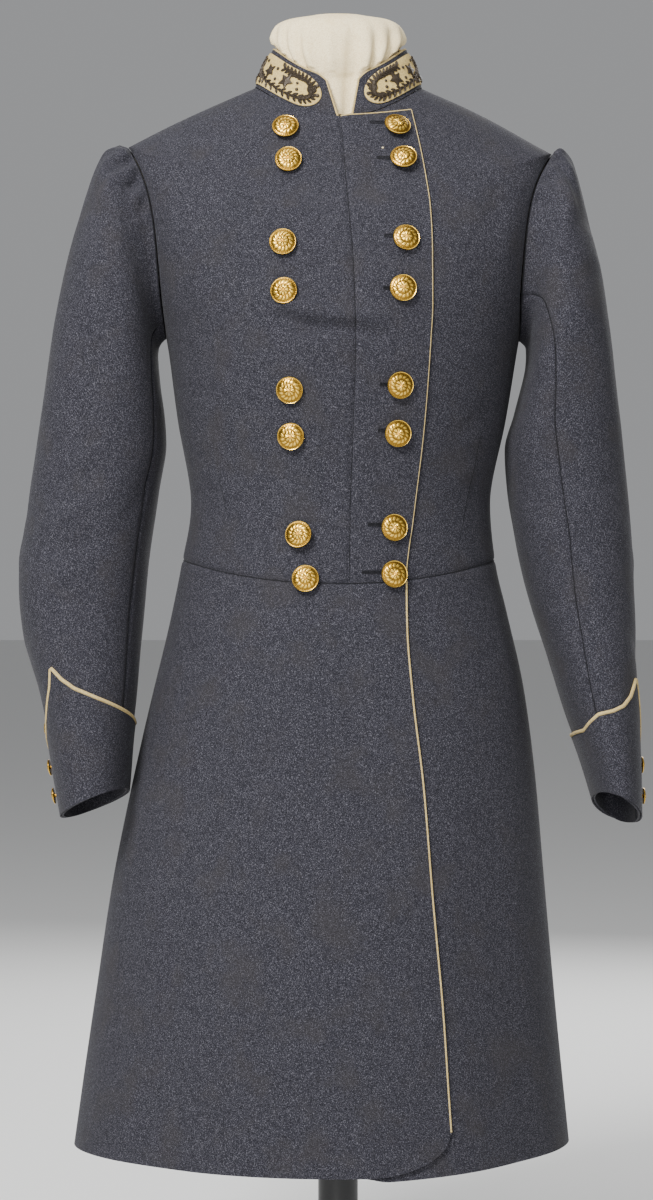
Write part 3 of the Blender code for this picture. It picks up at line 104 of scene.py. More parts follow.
# Piping: radii, and how far it lies out from the cloth's edge and in from its face.
LAPEL_PIPING, LAPEL_TOP_PIPING, SKIRT_PIPING = 0.00052, 0.00062, 0.00095
COLLAR_PIPING, CUFF_PIPING = 0.0010, 0.00165
PIPING_OUT = 0.8            # share of its radius
PIPING_SUNK, COLLAR_PIPING_SUNK = 0.0005, 0.0008
LAPEL_TOP_OUT, LAPEL_TOP_SUNK = 0.0004, 0.0003
CUFF_PIPING_RISE, CUFF_PIPING_ABOVE = 0.0013, 0.0018

# Seam lines, darts and buttonholes: radii of their cords, and their depths.
# The dark cords in the seams, darts and buttonhole slits are painted shade; the buttonhole loops and
# stitches are thread.
LAPEL_SEAM_SHADE, WAIST_SEAM_SHADE, SLEEVE_SEAM_SHADE, ARMHOLE_SEAM_SHADE = 0.00026, 0.0004, 0.0004, 0.0009
SEAM_SUNK, SLEEVE_SEAM_SUNK, CUFF_SEAM_RISE = 0.00075, 0.0004, 0.0015
ARMHOLE_SEAM_SHADE_SUNK = 0.0011
DART_SEAM_SHADE, DART_SUNK = 0.00036, 0.00022
LOOP_THREAD, LOOP_RISE, SLIT_SHADE = 0.00036, 0.00025, 0.00042
HOLE_HALF = 1.05            # half a worked buttonhole's height in millimetres
STITCH_PITCH, STITCH_RISE = 0.8, 0.00055

Numbers = float | np.ndarray    # a number, or an array that is worked on as a whole


class Slot(Enum):
    """The record's material slots."""

    WOOL = "wool"
    PIPING = "piping"
    PATCH = "patch"
    BRASS = "brass"
    COVER = "form_cover"
    FORM = "form_cloth"
    STAND = "stand"


class Side(Enum):
    """The wearer's sides, as the sign of x."""

    RIGHT = -1
    LEFT = 1

    @property
    def word(self) -> str:
        """The side's word in node names."""
        return self.name.lower()


class Level(NamedTuple):
    """One horizontal section of the body, in millimetres."""

    name: str
    side_r: float
    side_l: float
    front: float
    back: float
    half_r: float
    half_l: float
    deep_front: float
    deep_back: float
    centre: float
    power: float
    seam: float
    edge: float


class Ring(NamedTuple):
    """One section of a sleeve, in millimetres, its pitch in degrees."""

    out_x: float
    out_z: float
    in_x: float
    in_z: float
    front: float
    back: float
    pitch: float
    power: float


class Flute(NamedTuple):
    """A long fold of the skirts: degrees, and millimetres at the waist and at the hem."""

    turn: float
    width_top: float
    width_hem: float
    depth_top: float
    depth_hem: float


class Crease(NamedTuple):
    """A soft ridge or trough along a short path on a surface.

    u and v are the surface's own coordinates: turn in degrees and level on the body, arm
    angle and ring on a sleeve. width is the half width in metres, height in millimetres.
    """

    u1: float
    v1: float
    u2: float
    v2: float
    width: float
    height: float


LEVELS = [
    Level("hem", 127, 130, 119, 118, 231, 202, 165, 185, 0, 2.00, 0, 96),
    Level("low skirt", 255, 255, 250, 252, 213, 190, 150, 168, 0, 2.00, 0, 87.5),
    Level("mid skirt", 360, 360, 356, 358, 197, 181, 137, 150, 0, 2.05, 0, 78),
    Level("thigh", 445, 445, 440, 444, 180, 173.5, 127, 136, 0, 2.10, 0, 71.5),
    Level("seat", 529, 529, 521, 528, 161, 162.5, 118, 121, 0, 2.12, 0, 62),
    Level("high hip", 593, 593, 579, 591, 146, 148.5, 111, 107, 0, 2.12, 0, 57.5),
    Level("waist seam", 640, 640, 619, 638, 136.5, 138, 106, 98, 0, 2.12, 9, 57),
    Level("waist", 690, 690, 682, 692, 129.5, 134, 104, 92, 1, 2.12, 10, 64),
    Level("ribs", 762, 762, 752, 768, 140.5, 147, 112, 101, 3, 2.15, 12.5, 72),
    Level("underarm", 835, 833, 822, 848, 151, 159, 121, 112, 6, 2.22, 14.5, 77.5),
    Level("chest", 876, 873, 858, 892, 163, 168, 122, 115, 8, 2.30, 14, 79.5),
    Level("mid armhole", 931, 926, 903, 945, 174, 179, 116, 116, 10, 2.35, 12, 79.5),
    Level("shoulder blade", 976, 970, 939, 978, 182, 186, 106, 112, 12, 2.35, 9, 78),
    Level("shoulder point", 1004, 998, 962, 1000, 184.5, 188, 96, 101, 14, 2.25, 7, 75),
    Level("mid shoulder", 1031, 1030, 994, 1036, 131, 131, 83, 84, 14, 2.12, 4.5, 68.5),
    Level("neck", 1056, 1055.5, 1023, 1067, 73, 74, 65, 58, 10, 2.00, 2, 60),
]
HEM, WAIST_SEAM, UNDERARM, SHOULDER, NECK = 0, 6, 9, 13, 15
COLLAR_TOP = Level("collar top", 1090, 1090, 1060, 1102, 57.5, 60.5, 53, 46, 10, 2.0, 0, 0)
SIDE_SEAM, ARMHOLE_FRONT, ARMHOLE_BACK = 90.0, 19.5, 30.0
BACK_SEAM = ((6, 7, 8, 9, 10), (143.0, 140.0, 133.0, 125.0, 119.2))
SIDE_BODY_TOP = 10.0

FLUTES = [
    Flute(-157.0, 5.0, 7.5, -3.5, -17.0), Flute(-141.0, 7.0, 8.0, 0.5, 11.0),
    Flute(-124.0, 7.0, 9.0, -0.5, -9.0), Flute(-104.0, 9.0, 11.0, 0.0, 5.0),
    Flute(-52.0, 9.0, 12.0, 0.0, -3.5), Flute(56.0, 9.0, 11.0, 0.0, -3.0),
    Flute(103.0, 9.0, 10.0, 0.0, 4.5), Flute(122.0, 7.0, 9.0, -0.5, -8.0),
    Flute(140.0, 7.0, 8.5, 0.5, 11.5), Flute(156.5, 5.0, 7.5, -3.5, -16.0),
]
LEFT_SKIRT_EDGE, LEFT_LAPEL_EDGE = -24.0, -32.0
VENT_TURN, VENT_LAP, VENT_LIFT_TURN, VENT_LIFT_FULL = 180.0, 8.0, 165.0, 176.0
CORNER_REACH, CORNER_RISE, LEFT_HEM_DROP = 0.070, 0.034, 0.005
HEM_DROP_START, HEM_DROP_REACH = 7.0, 8.0
LAPEL_TOP_DROP, LAPEL_TOP_FLAT, LAPEL_TOP_BEND = 0.31, 0.15, 1.3

RINGS = {
    Side.RIGHT: [
        Ring(192.5, 1006, 156, 831, -56, 80, 0, 2.1), Ring(203, 1001, 158.5, 826, -62, 85, 0, 2.2),
        Ring(213, 984, 159, 820, -67, 89, 0, 2.25), Ring(222, 960, 158.5, 812, -70, 91, 0, 2.3),
        Ring(231, 930, 157.5, 803, -72, 91, 0, 2.35), Ring(241, 892, 156, 791, -73, 90, 0, 2.4),
        Ring(251, 842, 153, 769, -71, 88, 0, 2.4), Ring(260.5, 780, 151.5, 742, -68, 85, 0, 2.4),
        Ring(268, 726, 158, 700, -66, 81, 0, 2.4), Ring(275, 672, 165.5, 650, -66, 76, 0, 2.4),
        Ring(280.3, 622, 169.5, 608, -68, 70, 1, 2.35), Ring(276, 573, 173, 566, -73, 61, 3, 2.3),
        Ring(261, 523, 177, 522, -79, 49, 5, 2.25), Ring(250.5, 472, 181.5, 479, -84, 37, 6, 2.2),
        Ring(240.5, 416, 184.5, 440, -88, 28, 7, 2.15),
    ],
    Side.LEFT: [
        Ring(196.5, 1003, 164.5, 829, -56, 80, 0, 2.1), Ring(204, 994, 166.5, 825, -62, 85, 0, 2.2),
        Ring(211.5, 973, 166.5, 819, -67, 89, 0, 2.25), Ring(219, 946, 166, 811, -70, 91, 0, 2.3),
        Ring(226, 917, 164.5, 802, -72, 91, 0, 2.35), Ring(233, 885, 161.5, 790, -73, 90, 0, 2.4),
        Ring(240, 835, 155.5, 768, -71, 88, 0, 2.4), Ring(247, 778, 147.5, 737, -68, 85, 0, 2.4),
        Ring(252.5, 727, 150, 699, -66, 81, 0, 2.4), Ring(257.5, 672, 158, 650, -67, 77, 0, 2.4),
        Ring(260, 617, 169, 603, -70, 73, 1, 2.35), Ring(261, 567, 182.5, 562, -76, 67, 4, 2.3),
        Ring(261.7, 520, 196, 517, -83, 58, 6, 2.25), Ring(262.5, 470, 211, 475, -90, 49, 8, 2.2),
        Ring(263.3, 414, 224, 434, -96, 40, 10, 2.15),
    ],
}
BLEND_RINGS, ELBOW_RING, ARMHOLE_STEPS = 3.0, 10.0, 6
HIND_SEAM = {Side.RIGHT: (150.0, 132.0, 97.0), Side.LEFT: (150.0, 132.0, 98.0)}
FRONT_SEAM = {Side.RIGHT: (-60.0, -52.0, -52.0), Side.LEFT: (-30.0, -9.0, -27.0)}
GATHERS = {
    Side.RIGHT: [(58.0, 5.0, 3.2), (48.5, 4.5, -2.6), (40.0, 5.0, 2.6), (76.0, 6.0, 1.6)],
    Side.LEFT: [(62.0, 5.5, 3.2), (51.5, 4.5, -2.8), (42.0, 6.0, 2.2), (80.0, 6.0, 1.8)],
}
GATHER_FULL, GATHER_END = 0.9, 4.2
CUFF_EDGES = {
    Side.RIGHT: ((-264, 471), (-180, 483), (-90, 497), (-50, 508), (-14, 519), (11, 527),
                 (24, 535), (33, 545), (41, 527), (56, 505), (72, 487), (96, 471)),
    Side.LEFT: ((-263, 473), (-180, 479), (-90, 486), (-49, 491), (-34, 498), (-17, 505),
                (8, 508), (26, 512), (41, 520), (56, 535), (66, 513), (78, 492), (97, 473)),
}
COLLAR_FOOT_GAP = 0.0009
COLLAR_ENDS = (-0.0012, 0.0128, -0.0105, 0.0180)    # right foot, left foot, right top, left top
PATCH_BACK_TURN, PATCH_LOW, PATCH_HIGH, PATCH_ROUND = 104.0, 0.09, 0.90, 0.22
PATCH_FRONT = {Side.RIGHT: -0.0145, Side.LEFT: 0.0228}
PATCH_MIDDLE, PATCH_HALF = (PATCH_LOW + PATCH_HIGH) / 2.0, (PATCH_HIGH - PATCH_LOW) / 2.0
PATCH_LENGTH_MM, PATCH_HALF_MM = 86.0, 16.0     # the ranges of the embroidery's own coordinates

COVER_RINGS = ((0.00, 50.5, 46.0), (0.30, 50.3, 44.5), (0.50, 51.6, 44.0), (0.60, 55.4, 46.0),
               (0.70, 57.9, 48.6), (0.84, 55.5, 47.5), (0.94, 46.0, 40.0), (1.00, 24.0, 20.0))
BRIM_SHARE, COLLAR_BRIM_RISE, NECK_CENTRE = 0.60, 0.0038, 0.005
COVER_TOP, COVER_FOOT_RISE, COVER_WALL = 1.1190, 0.0045, 0.0012
COVER_FOLD_FADE, COVER_FOLD_SCALE = 0.42, 1.6
COVER_ROOM, COVER_DIP = 0.0015, 0.0029      # most that a fold moves out inside the collar, and in
COVER_ROWS, COVER_COLUMNS = 62, 216


class Fold(NamedTuple):
    """A hanging fold of the neck's cloth: degrees at its top, foot and half width, and mm."""

    top: float
    foot: float
    width: float
    height: float


COVER_FOLDS = (
    Fold(-62, -34, 6, 2.6), Fold(-55, -27, 4, -1.7), Fold(-48, -20, 5, 2.4), Fold(-38, -13, 4, -2.0),
    Fold(-30, -10, 6, 3.0), Fold(-8, -2, 5, 2.0), Fold(13, 11, 5, -4.0), Fold(27, 19, 6, 3.2),
    Fold(36, 19, 4, -2.0), Fold(45, 25, 5, 2.4), Fold(56, 31, 4, -1.8), Fold(67, 38, 6, 2.6),
    Fold(95, 90, 6, 2.2), Fold(112, 116, 5, -1.7), Fold(138, 142, 8, 2.4), Fold(163, 160, 5, -1.5),
    Fold(188, 194, 8, 2.3), Fold(212, 210, 5, -1.6), Fold(238, 244, 8, 2.5), Fold(262, 262, 5, -1.7),
    Fold(280, 277, 6, 2.2), Fold(80, 60, 4, -1.5), Fold(-74, -52, 4, -1.6),
)


def ease(share: Numbers) -> Numbers:
    """Smooth step from 0 to 1.

    Args:
        share: A number or an array.

    Returns:
        The eased number or array.
    """
    share = np.clip(share, 0.0, 1.0)
    return share * share * (3.0 - 2.0 * share)


def unit(vectors: np.ndarray) -> np.ndarray:
    """Vectors of length 1, along the last axis."""
    return vectors / np.maximum(np.linalg.norm(vectors, axis=-1, keepdims=True), 1e-12)


class Track:
    """Smooth curve through evenly numbered values that never overshoots them."""

    def __init__(self, values: Sequence[float], corners: Sequence[int] = ()) -> None:
        """Fit the curve. At corners its slope may change at once."""
        self.values = np.array(values, float)
        steps = np.diff(self.values)
        before, after = [], []
        for number in range(len(self.values)):
            left, right = steps[max(number - 1, 0)], steps[min(number, len(steps) - 1)]
            mean = 2.0 * left * right / (left + right) if left * right > 0 else 0.0
            sharp = number in (0, len(steps)) or number in corners
            before.append(left if sharp else mean)
            after.append(right if sharp else mean)
        self.before, self.after = np.array(before), np.array(after)

    def at(self, place: Numbers) -> np.ndarray:
        """Values at places between the first number and the last.

        Args:
            place: A number or an array of them.

        Returns:
            The values there.
        """
        place = np.asarray(place, float)
        start = np.clip(np.floor(place).astype(int), 0, len(self.values) - 2)
        share = place - start
        first, second = self.values[start], self.values[start + 1]
        leave = share * (1.0 - share) ** 2 * self.after[start]
        arrive = share * share * (share - 1.0) * self.before[start + 1]
        return first + (second - first) * share * share * (3.0 - 2.0 * share) + leave + arrive


class Body:
    """The coat's outer surface from hem to neck. Every method takes arrays."""

    def __init__(self, levels: Sequence[Level]) -> None:
        """Fit a curve through each column of the sections."""
        self.tracks = {}
        for name in Level._fields[1:]:
            scale = 1.0 if name == "power" else MM
            corners = (SHOULDER,) if name.startswith("half") else ()
            self.tracks[name] = Track([getattr(lv, name) * scale for lv in levels], corners)

    def value(self, name: str, level: Numbers) -> np.ndarray:
        """One column of LEVELS at any level, in metres."""
        return self.tracks[name].at(level)

    def fold(self, turn: Numbers, level: Numbers) -> np.ndarray:
        """How far the skirts' flutes move the cloth out.

        Args:
            turn: Turns in radians.
            level: Levels.

        Returns:
            Metres outward.
        """
        drop = 1.0 - level / WAIST_SEAM
        total = np.zeros(np.broadcast(turn, level).shape)
        degrees = np.degrees(turn)
        for flute in FLUTES:
            width = flute.width_top + (flute.width_hem - flute.width_top) * drop
            depth = flute.depth_top + (flute.depth_hem - flute.depth_top) * drop
            away = (degrees - flute.turn + 180.0) % 360.0 - 180.0
            total = total + depth * MM * np.exp(-(away / width) ** 2)
        return total * ease((WAIST_SEAM - level) / FLUTE_FADE)

    def point(self, turn: Numbers, level: Numbers) -> np.ndarray:
        """Points of the surface, with x, y and z along the last axis.

        Args:
            turn: Turns in radians.
            level: Levels.

        Returns:
            The points.
        """
        turn, level = np.broadcast_arrays(np.asarray(turn, float), np.asarray(level, float))
        level = np.clip(level, 0.0, float(len(LEVELS) - 1))
        across, ahead = np.sin(turn), np.cos(turn)
        half = np.where(across >= 0, self.value("half_l", level), self.value("half_r", level))
        deep = np.where(ahead >= 0, self.value("deep_front", level),
                        self.value("deep_back", level))
        power = self.value("power", level)
        reach = (np.abs(across / half) ** power + np.abs(ahead / deep) ** power) ** (-1.0 / power)
        share = (reach * ahead / deep) ** 2
        side = np.where(across >= 0, self.value("side_l", level), self.value("side_r", level))
        end = np.where(ahead >= 0, self.value("front", level), self.value("back", level))
        reach = reach + np.where(level < WAIST_SEAM, self.fold(turn, level), 0.0)
        y = -reach * ahead + self.value("centre", level)
        return np.stack((reach * across, y, side + (end - side) * share), axis=-1)

    def normal(self, turn: Numbers, level: Numbers) -> np.ndarray:
        """Outward directions of the surface.

        Args:
            turn: Turns in radians.
            level: Levels.

        Returns:
            Directions of length 1.
        """
        low = np.clip(np.asarray(level) - LEVEL_SPAN, 0.0, None)
        high = np.clip(np.asarray(level) + LEVEL_SPAN, None, float(len(LEVELS) - 1))
        along = self.point(turn + TURN_SPAN, level) - self.point(turn - TURN_SPAN, level)
        upward = self.point(turn, high) - self.point(turn, low)
        return unit(np.cross(along, upward))

    def turn_at(self, x: Numbers, level: Numbers) -> np.ndarray:
        """Turns of the places on the front that lie x to the wearer's left.

        Args:
            x: Metres to the wearer's left of the middle.
            level: Levels.

        Returns:
            Turns in radians.
        """
        x = np.asarray(x, float)
        half = np.where(x >= 0, self.value("half_l", level), self.value("half_r", level))
        power = self.value("power", level)
        ahead = self.value("deep_front", level) * (1.0 - np.abs(x / half) ** power) ** (1 / power)
        return np.arctan2(x, ahead)

    def level_at(self, x: float, height: float, low: float = 0.0, high: float = 15.0) -> float:
        """Level where the front at x reaches a height.

        Args:
            x: Metres to the wearer's left of the middle.
            height: Height in metres.
            low: Lowest level to look at.
            high: Highest level to look at.

        Returns:
            The level.
        """
        for _ in range(HALVINGS):
            middle = (low + high) / 2.0
            if self.point(self.turn_at(x, middle), middle)[2] < height:
                low = middle
            else:
                high = middle
        return (low + high) / 2.0


BODY = Body(LEVELS)


def armhole_turn(level: Numbers, front: bool) -> np.ndarray:
    """Turn of the armhole's edge.

    Args:
        level: Levels from the underarm to the shoulder.
        front: The front edge, or else the back one.

    Returns:
        Degrees from the front centre.
    """
    share = np.clip((np.asarray(level, float) - UNDERARM) / (SHOULDER - UNDERARM), 0.0, 1.0)
    bell = np.sqrt(np.clip(np.sin(math.pi * share), 0.0, None))
    return SIDE_SEAM - ARMHOLE_FRONT * bell if front else SIDE_SEAM + ARMHOLE_BACK * bell


class Sleeve:
    """One sleeve's outer surface. A ring runs from 0 at the armhole to the cuff's end."""

    def __init__(self, side: Side) -> None:
        """Fit a curve through each column of the sleeve's rings."""
        self.side, self.sign = side, side.value
        rings = RINGS[side]
        self.last = float(len(rings))
        self.tracks = {}
        for name in Ring._fields:
            scale = 1.0 if name in ("power", "pitch") else MM
            values = [getattr(ring, name) * scale for ring in rings]
            self.tracks[name] = Track([values[0]] + values)

    def armhole(self, angle: Numbers) -> np.ndarray:
        """Points of the armhole's edge at arm angles, eased between its corners.

        Args:
            angle: Arm angles in degrees.

        Returns:
            The points.
        """
        count = 2 * ARMHOLE_STEPS
        place = ((np.asarray(angle) + 90.0) % 360.0) / (360.0 / count)
        step = np.where(place <= ARMHOLE_STEPS, place, count - place)
        share = (1.0 - np.cos(math.pi * step / ARMHOLE_STEPS)) / 2.0
        level = UNDERARM + (SHOULDER - UNDERARM) * share
        front = place <= ARMHOLE_STEPS
        turn = np.where(front, armhole_turn(level, True), armhole_turn(level, False))
        points = BODY.point(np.radians(self.sign * turn), level)
        return points + np.array((self.sign * SLEEVE_GAP, 0.0, 0.0))

    def _section(self, angle: Numbers, ring: Numbers) -> np.ndarray:
        """Points of the plain sections, before they are blended into the armhole.

        Args:
            angle: Arm angles in degrees.
            ring: Rings.

        Returns:
            The points.
        """
        get = {name: track.at(ring) for name, track in self.tracks.items()}
        out = np.stack((self.sign * get["out_x"], get["out_z"]), axis=-1)
        inner = np.stack((self.sign * get["in_x"], get["in_z"]), axis=-1)
        middle, half = (out + inner) / 2.0, (out - inner) / 2.0
        across, ahead = np.sin(np.radians(angle)), np.cos(np.radians(angle))
        power = get["power"]
        reach = (np.abs(across) ** power + np.abs(ahead) ** power) ** (-1.0 / power)
        forward = (get["back"] - get["front"]) / 2.0 * reach * ahead
        tip = np.tan(np.radians(get["pitch"])) * forward
        flat = middle + half * (reach * across)[..., None]
        y = (get["front"] + get["back"]) / 2.0 - forward
        return np.stack((flat[..., 0], y, flat[..., 1] + tip), axis=-1)

    def _gather(self, angle: Numbers, ring: Numbers) -> np.ndarray:
        """How far the folds of the gathered head move the cloth out.

        Args:
            angle: Arm angles in degrees.
            ring: Rings.

        Returns:
            Metres outward.
        """
        fade = ease(ring / GATHER_FULL) * ease((GATHER_END - ring) / (GATHER_END - GATHER_FULL))
        total = np.zeros(np.shape(angle))
        for at, width, height in GATHERS[self.side]:
            away = (angle - at + 180.0) % 360.0 - 180.0
            total = total + height * MM * np.exp(-(away / width) ** 2)
        return total * fade

    def _bare(self, angle: Numbers, ring: Numbers) -> np.ndarray:
        """Points of the sleeve without its gathers.

        Args:
            angle: Arm angles in degrees.
            ring: Rings.

        Returns:
            The points.
        """
        angle, ring = np.broadcast_arrays(np.asarray(angle, float), np.asarray(ring, float))
        ring = np.clip(ring, 0.0, self.last)
        first = np.maximum(ring, 1.0)
        section = self._section(angle, first)
        high = ((1.0 + np.sin(np.radians(angle))) / 2.0)[..., None]
        sideways = np.array((1.0, 0.0, 1.0))
        up, down = np.full(angle.shape, 90.0), np.full(angle.shape, -90.0)
        top = (self._section(up, first) - self.armhole(up)) * sideways
        low = (self._section(down, first) - self.armhole(down)) * sideways
        start = np.minimum(ring, 1.0)[..., None]
        moved = self.armhole(angle) + (top * high + low * (1.0 - high)) * start
        return moved + (section - moved) * ease(ring / BLEND_RINGS)[..., None]

    def normal(self, angle: Numbers, ring: Numbers) -> np.ndarray:
        """Outward directions of the sleeve.

        Args:
            angle: Arm angles in degrees.
            ring: Rings.

        Returns:
            Directions of length 1.
        """
        low, high = np.maximum(ring - RING_SPAN, 0.0), np.minimum(ring + RING_SPAN, self.last)
        along = self._bare(angle + ANGLE_SPAN, ring) - self._bare(angle - ANGLE_SPAN, ring)
        downward = self._bare(angle, high) - self._bare(angle, low)
        return unit(np.cross(downward, along)) * self.sign

    def point(self, angle: Numbers, ring: Numbers) -> np.ndarray:
        """Points of the sleeve.

        Args:
            angle: Arm angles in degrees.
            ring: Rings.

        Returns:
            The points.
        """
        angle, ring = np.broadcast_arrays(np.asarray(angle, float), np.asarray(ring, float))
        return self._bare(angle, ring) + self.normal(angle, ring) * \
            self._gather(angle, ring)[..., None]

    def seam(self, seam: tuple, ring: Numbers) -> np.ndarray:
        """Arm angle of a seam at a ring.

        Args:
            seam: Its angles at the armhole, the elbow and the cuff.
            ring: Rings.

        Returns:
            Arm angles in degrees.
        """
        upper = seam[0] + (seam[1] - seam[0]) * ease(ring / ELBOW_RING)
        share = (ring - ELBOW_RING) / (self.last - ELBOW_RING)
        return np.where(ring < ELBOW_RING, upper, seam[1] + (seam[2] - seam[1]) * share)

    def column(self, armhole_angle: Numbers, ring: Numbers) -> np.ndarray:
        """Arm angle at a ring of the cloth thread that starts at an armhole angle.

        Args:
            armhole_angle: Angles where threads start.
            ring: Rings.

        Returns:
            Arm angles in degrees.
        """
        front, hind = FRONT_SEAM[self.side], HIND_SEAM[self.side]
        front_now, hind_now = self.seam(front, ring), self.seam(hind, ring)
        over = (armhole_angle - front[0]) / (hind[0] - front[0])
        under = (armhole_angle - hind[0]) / (360.0 + front[0] - hind[0])
        return np.where(armhole_angle <= hind[0], front_now + (hind_now - front_now) * over,
                        hind_now + (360.0 + front_now - hind_now) * under)

    def ring_at(self, angle: Numbers, height: Numbers) -> np.ndarray:
        """Ring where the lower sleeve reaches a height, at an arm angle.

        Args:
            angle: Arm angles in degrees.
            height: Heights in metres.

        Returns:
            The rings.
        """
        angle, height = np.broadcast_arrays(np.asarray(angle, float), height)
        low, high = np.full(angle.shape, ELBOW_RING), np.full(angle.shape, self.last)
        for _ in range(SLEEVE_HALVINGS):
            middle = (low + high) / 2.0
            above = self._bare(angle, middle)[..., 2] > height
            low, high = np.where(above, middle, low), np.where(above, high, middle)
        return (low + high) / 2.0


SLEEVES = {side: Sleeve(side) for side in Side}


class Collar:
    """The standing collar's outer surface."""

    def _top(self, turn: Numbers) -> np.ndarray:
        """Points of the collar's upper edge.

        Args:
            turn: Turns in radians.

        Returns:
            The points.
        """
        across, ahead = np.sin(turn), np.cos(turn)
        half = np.where(across >= 0, COLLAR_TOP.half_l, COLLAR_TOP.half_r) * MM
        deep = np.where(ahead >= 0, COLLAR_TOP.deep_front, COLLAR_TOP.deep_back) * MM
        reach = ((across / half) ** 2 + (ahead / deep) ** 2) ** -0.5
        share = (reach * ahead / deep) ** 2
        side = np.where(across >= 0, COLLAR_TOP.side_l, COLLAR_TOP.side_r) * MM
        end = np.where(ahead >= 0, COLLAR_TOP.front, COLLAR_TOP.back) * MM
        return np.stack((reach * across, COLLAR_TOP.centre * MM - reach * ahead,
                         side + (end - side) * share), axis=-1)

    def point(self, turn: Numbers, rise: Numbers) -> np.ndarray:
        """Points at turns and shares of the collar's height.

        Args:
            turn: Turns in radians.
            rise: Shares of the collar's height.

        Returns:
            The points.
        """
        turn, rise = np.broadcast_arrays(np.asarray(turn, float), np.asarray(rise, float))
        foot = BODY.point(turn, float(NECK)) + np.array((0.0, 0.0, COLLAR_FOOT_GAP))
        return foot + (self._top(turn) - foot) * rise[..., None]

    def normal(self, turn: Numbers, rise: Numbers) -> np.ndarray:
        """Outward directions of the collar.

        Args:
            turn: Turns in radians.
            rise: Shares of the collar's height.

        Returns:
            Directions of length 1.
        """
        along = self.point(turn + TURN_SPAN, rise) - self.point(turn - TURN_SPAN, rise)
        upward = self.point(turn, np.ones(np.shape(rise))) - \
            self.point(turn, np.zeros(np.shape(rise)))
        return unit(np.cross(along, upward))

    def turn_at(self, x: Numbers, rise: Numbers) -> np.ndarray:
        """Turns of the places on the collar's front that lie x to the wearer's left.

        Args:
            x: Metres to the wearer's left.
            rise: Shares of the collar's height.

        Returns:
            Turns in radians.
        """
        x, rise = np.broadcast_arrays(np.asarray(x, float), np.asarray(rise, float))
        low, high = np.full(x.shape, -math.pi / 2), np.full(x.shape, math.pi / 2)
        for _ in range(HALVINGS):
            middle = (low + high) / 2.0
            left = self.point(middle, rise)[..., 0] < x
            low, high = np.where(left, middle, low), np.where(left, high, middle)
        return (low + high) / 2.0


COLLAR = Collar()


@dataclass
class Grid:
    """Points on a surface in rows and columns, with the outward direction at each."""

    points: np.ndarray
    normals: np.ndarray

    @property
    def lengths(self) -> tuple:
        """Metric coordinates of every point: along its row, and along its column.

        Returns:
            Lengths along the rows and along the columns, in metres.
        """
        along = np.linalg.norm(np.diff(self.points, axis=1), axis=2)
        up = np.linalg.norm(np.diff(self.points, axis=0), axis=2)
        u = np.concatenate((np.zeros((len(along), 1)), np.cumsum(along, axis=1)), axis=1)
        v = np.concatenate((np.zeros((1, up.shape[1])), np.cumsum(up, axis=0)), axis=0)
        return u, v

    def move(self, offset: Numbers) -> "Grid":
        """Grid with each point moved along its normal by an array of offsets.

        Args:
            offset: Metres outward, for each point or for all.

        Returns:
            The moved grid.
        """
        offset = np.asarray(offset, float)
        if offset.ndim:
            offset = offset[..., None]
        return Grid(self.points + self.normals * offset, self.normals)

    def trimmed(self, sides: str) -> "Grid":
        """Grid drawn in at chosen borders, a b l r for first row, last row, first and last
        column, by half a seam's gap.

        Args:
            sides: Letters of the borders.

        Returns:
            The trimmed grid.
        """
        points = self.points.copy()
        for key, here, inner in (("a", np.s_[0], np.s_[1]), ("b", np.s_[-1], np.s_[-2]),
                                 ("l", np.s_[:, 0], np.s_[:, 1]), ("r", np.s_[:, -1], np.s_[:, -2])):
            if key in sides:
                points[here] = points[here] + unit(points[inner] - points[here]) * SEAM_HALF
        return Grid(points, self.normals)

    def rolled(self, sides: str) -> "Grid":
        """Grid whose chosen borders, named as for trimmed, turn in towards a seam.

        Args:
            sides: Letters of the borders.

        Returns:
            The rolled grid.
        """
        u, v = self.lengths
        away = np.full(u.shape, 1.0)
        for key, distance in (("a", v), ("b", v[-1:] - v), ("l", u), ("r", u[:, -1:] - u)):
            if key in sides:
                away = np.minimum(away, distance)
        return self.move(-ROLL_DEPTH * np.exp(-(away / ROLL_WIDTH) ** 2))


def steps_between(length: float, size: float, fine: str = "") -> np.ndarray:
    """Shares from 0 to 1 at an even step, with closer ones beside fine borders.

    Args:
        length: The real length in metres that the shares cover.
        size: The even step in metres.
        fine: "a" for closer shares at the start and "b" at the end.

    Returns:
        The shares, in order.
    """
    even = np.linspace(0.0, 1.0, max(int(round(length / size)), 2) + 1)
    close = np.array(BORDER_STEPS) / length
    extra = np.concatenate((close if "a" in fine else [], 1.0 - close if "b" in fine else []))
    return np.unique(np.round(np.concatenate((even, extra)), 6))


class Surface(Enum):
    """What a crease lies on."""

    BODY = "body"
    SLEEVE_R = "sleeve_right"
    SLEEVE_L = "sleeve_left"


def lap_lift(turn: Numbers) -> np.ndarray:
    """How far the right fronts stand off the body's own surface."""
    return LAP_LIFT * ease((np.degrees(turn) - LAP_NONE) / (LAP_FULL - LAP_NONE))


def vent_lift(turn: Numbers) -> np.ndarray:
    """How far the left skirt stands off over the right one at the back."""
    degrees = np.degrees(turn)
    return LAP_LIFT * ease((degrees - VENT_LIFT_TURN) / (VENT_LIFT_FULL - VENT_LIFT_TURN))


def surface_spots(surface: Surface, u: Numbers, v: Numbers) -> tuple:
    """Points and normals of a surface at its own coordinates.

    Args:
        surface: The surface.
        u: Turn or arm angle in degrees.
        v: Level or ring.

    Returns:
        The points and the outward directions.
    """
    u, v = np.asarray(u, float), np.asarray(v, float)
    if surface is Surface.BODY:
        return BODY.point(np.radians(u), v), BODY.normal(np.radians(u), v)
    sleeve = SLEEVES[Side.RIGHT if surface is Surface.SLEEVE_R else Side.LEFT]
    return sleeve.point(u, v), sleeve.normal(u, v)


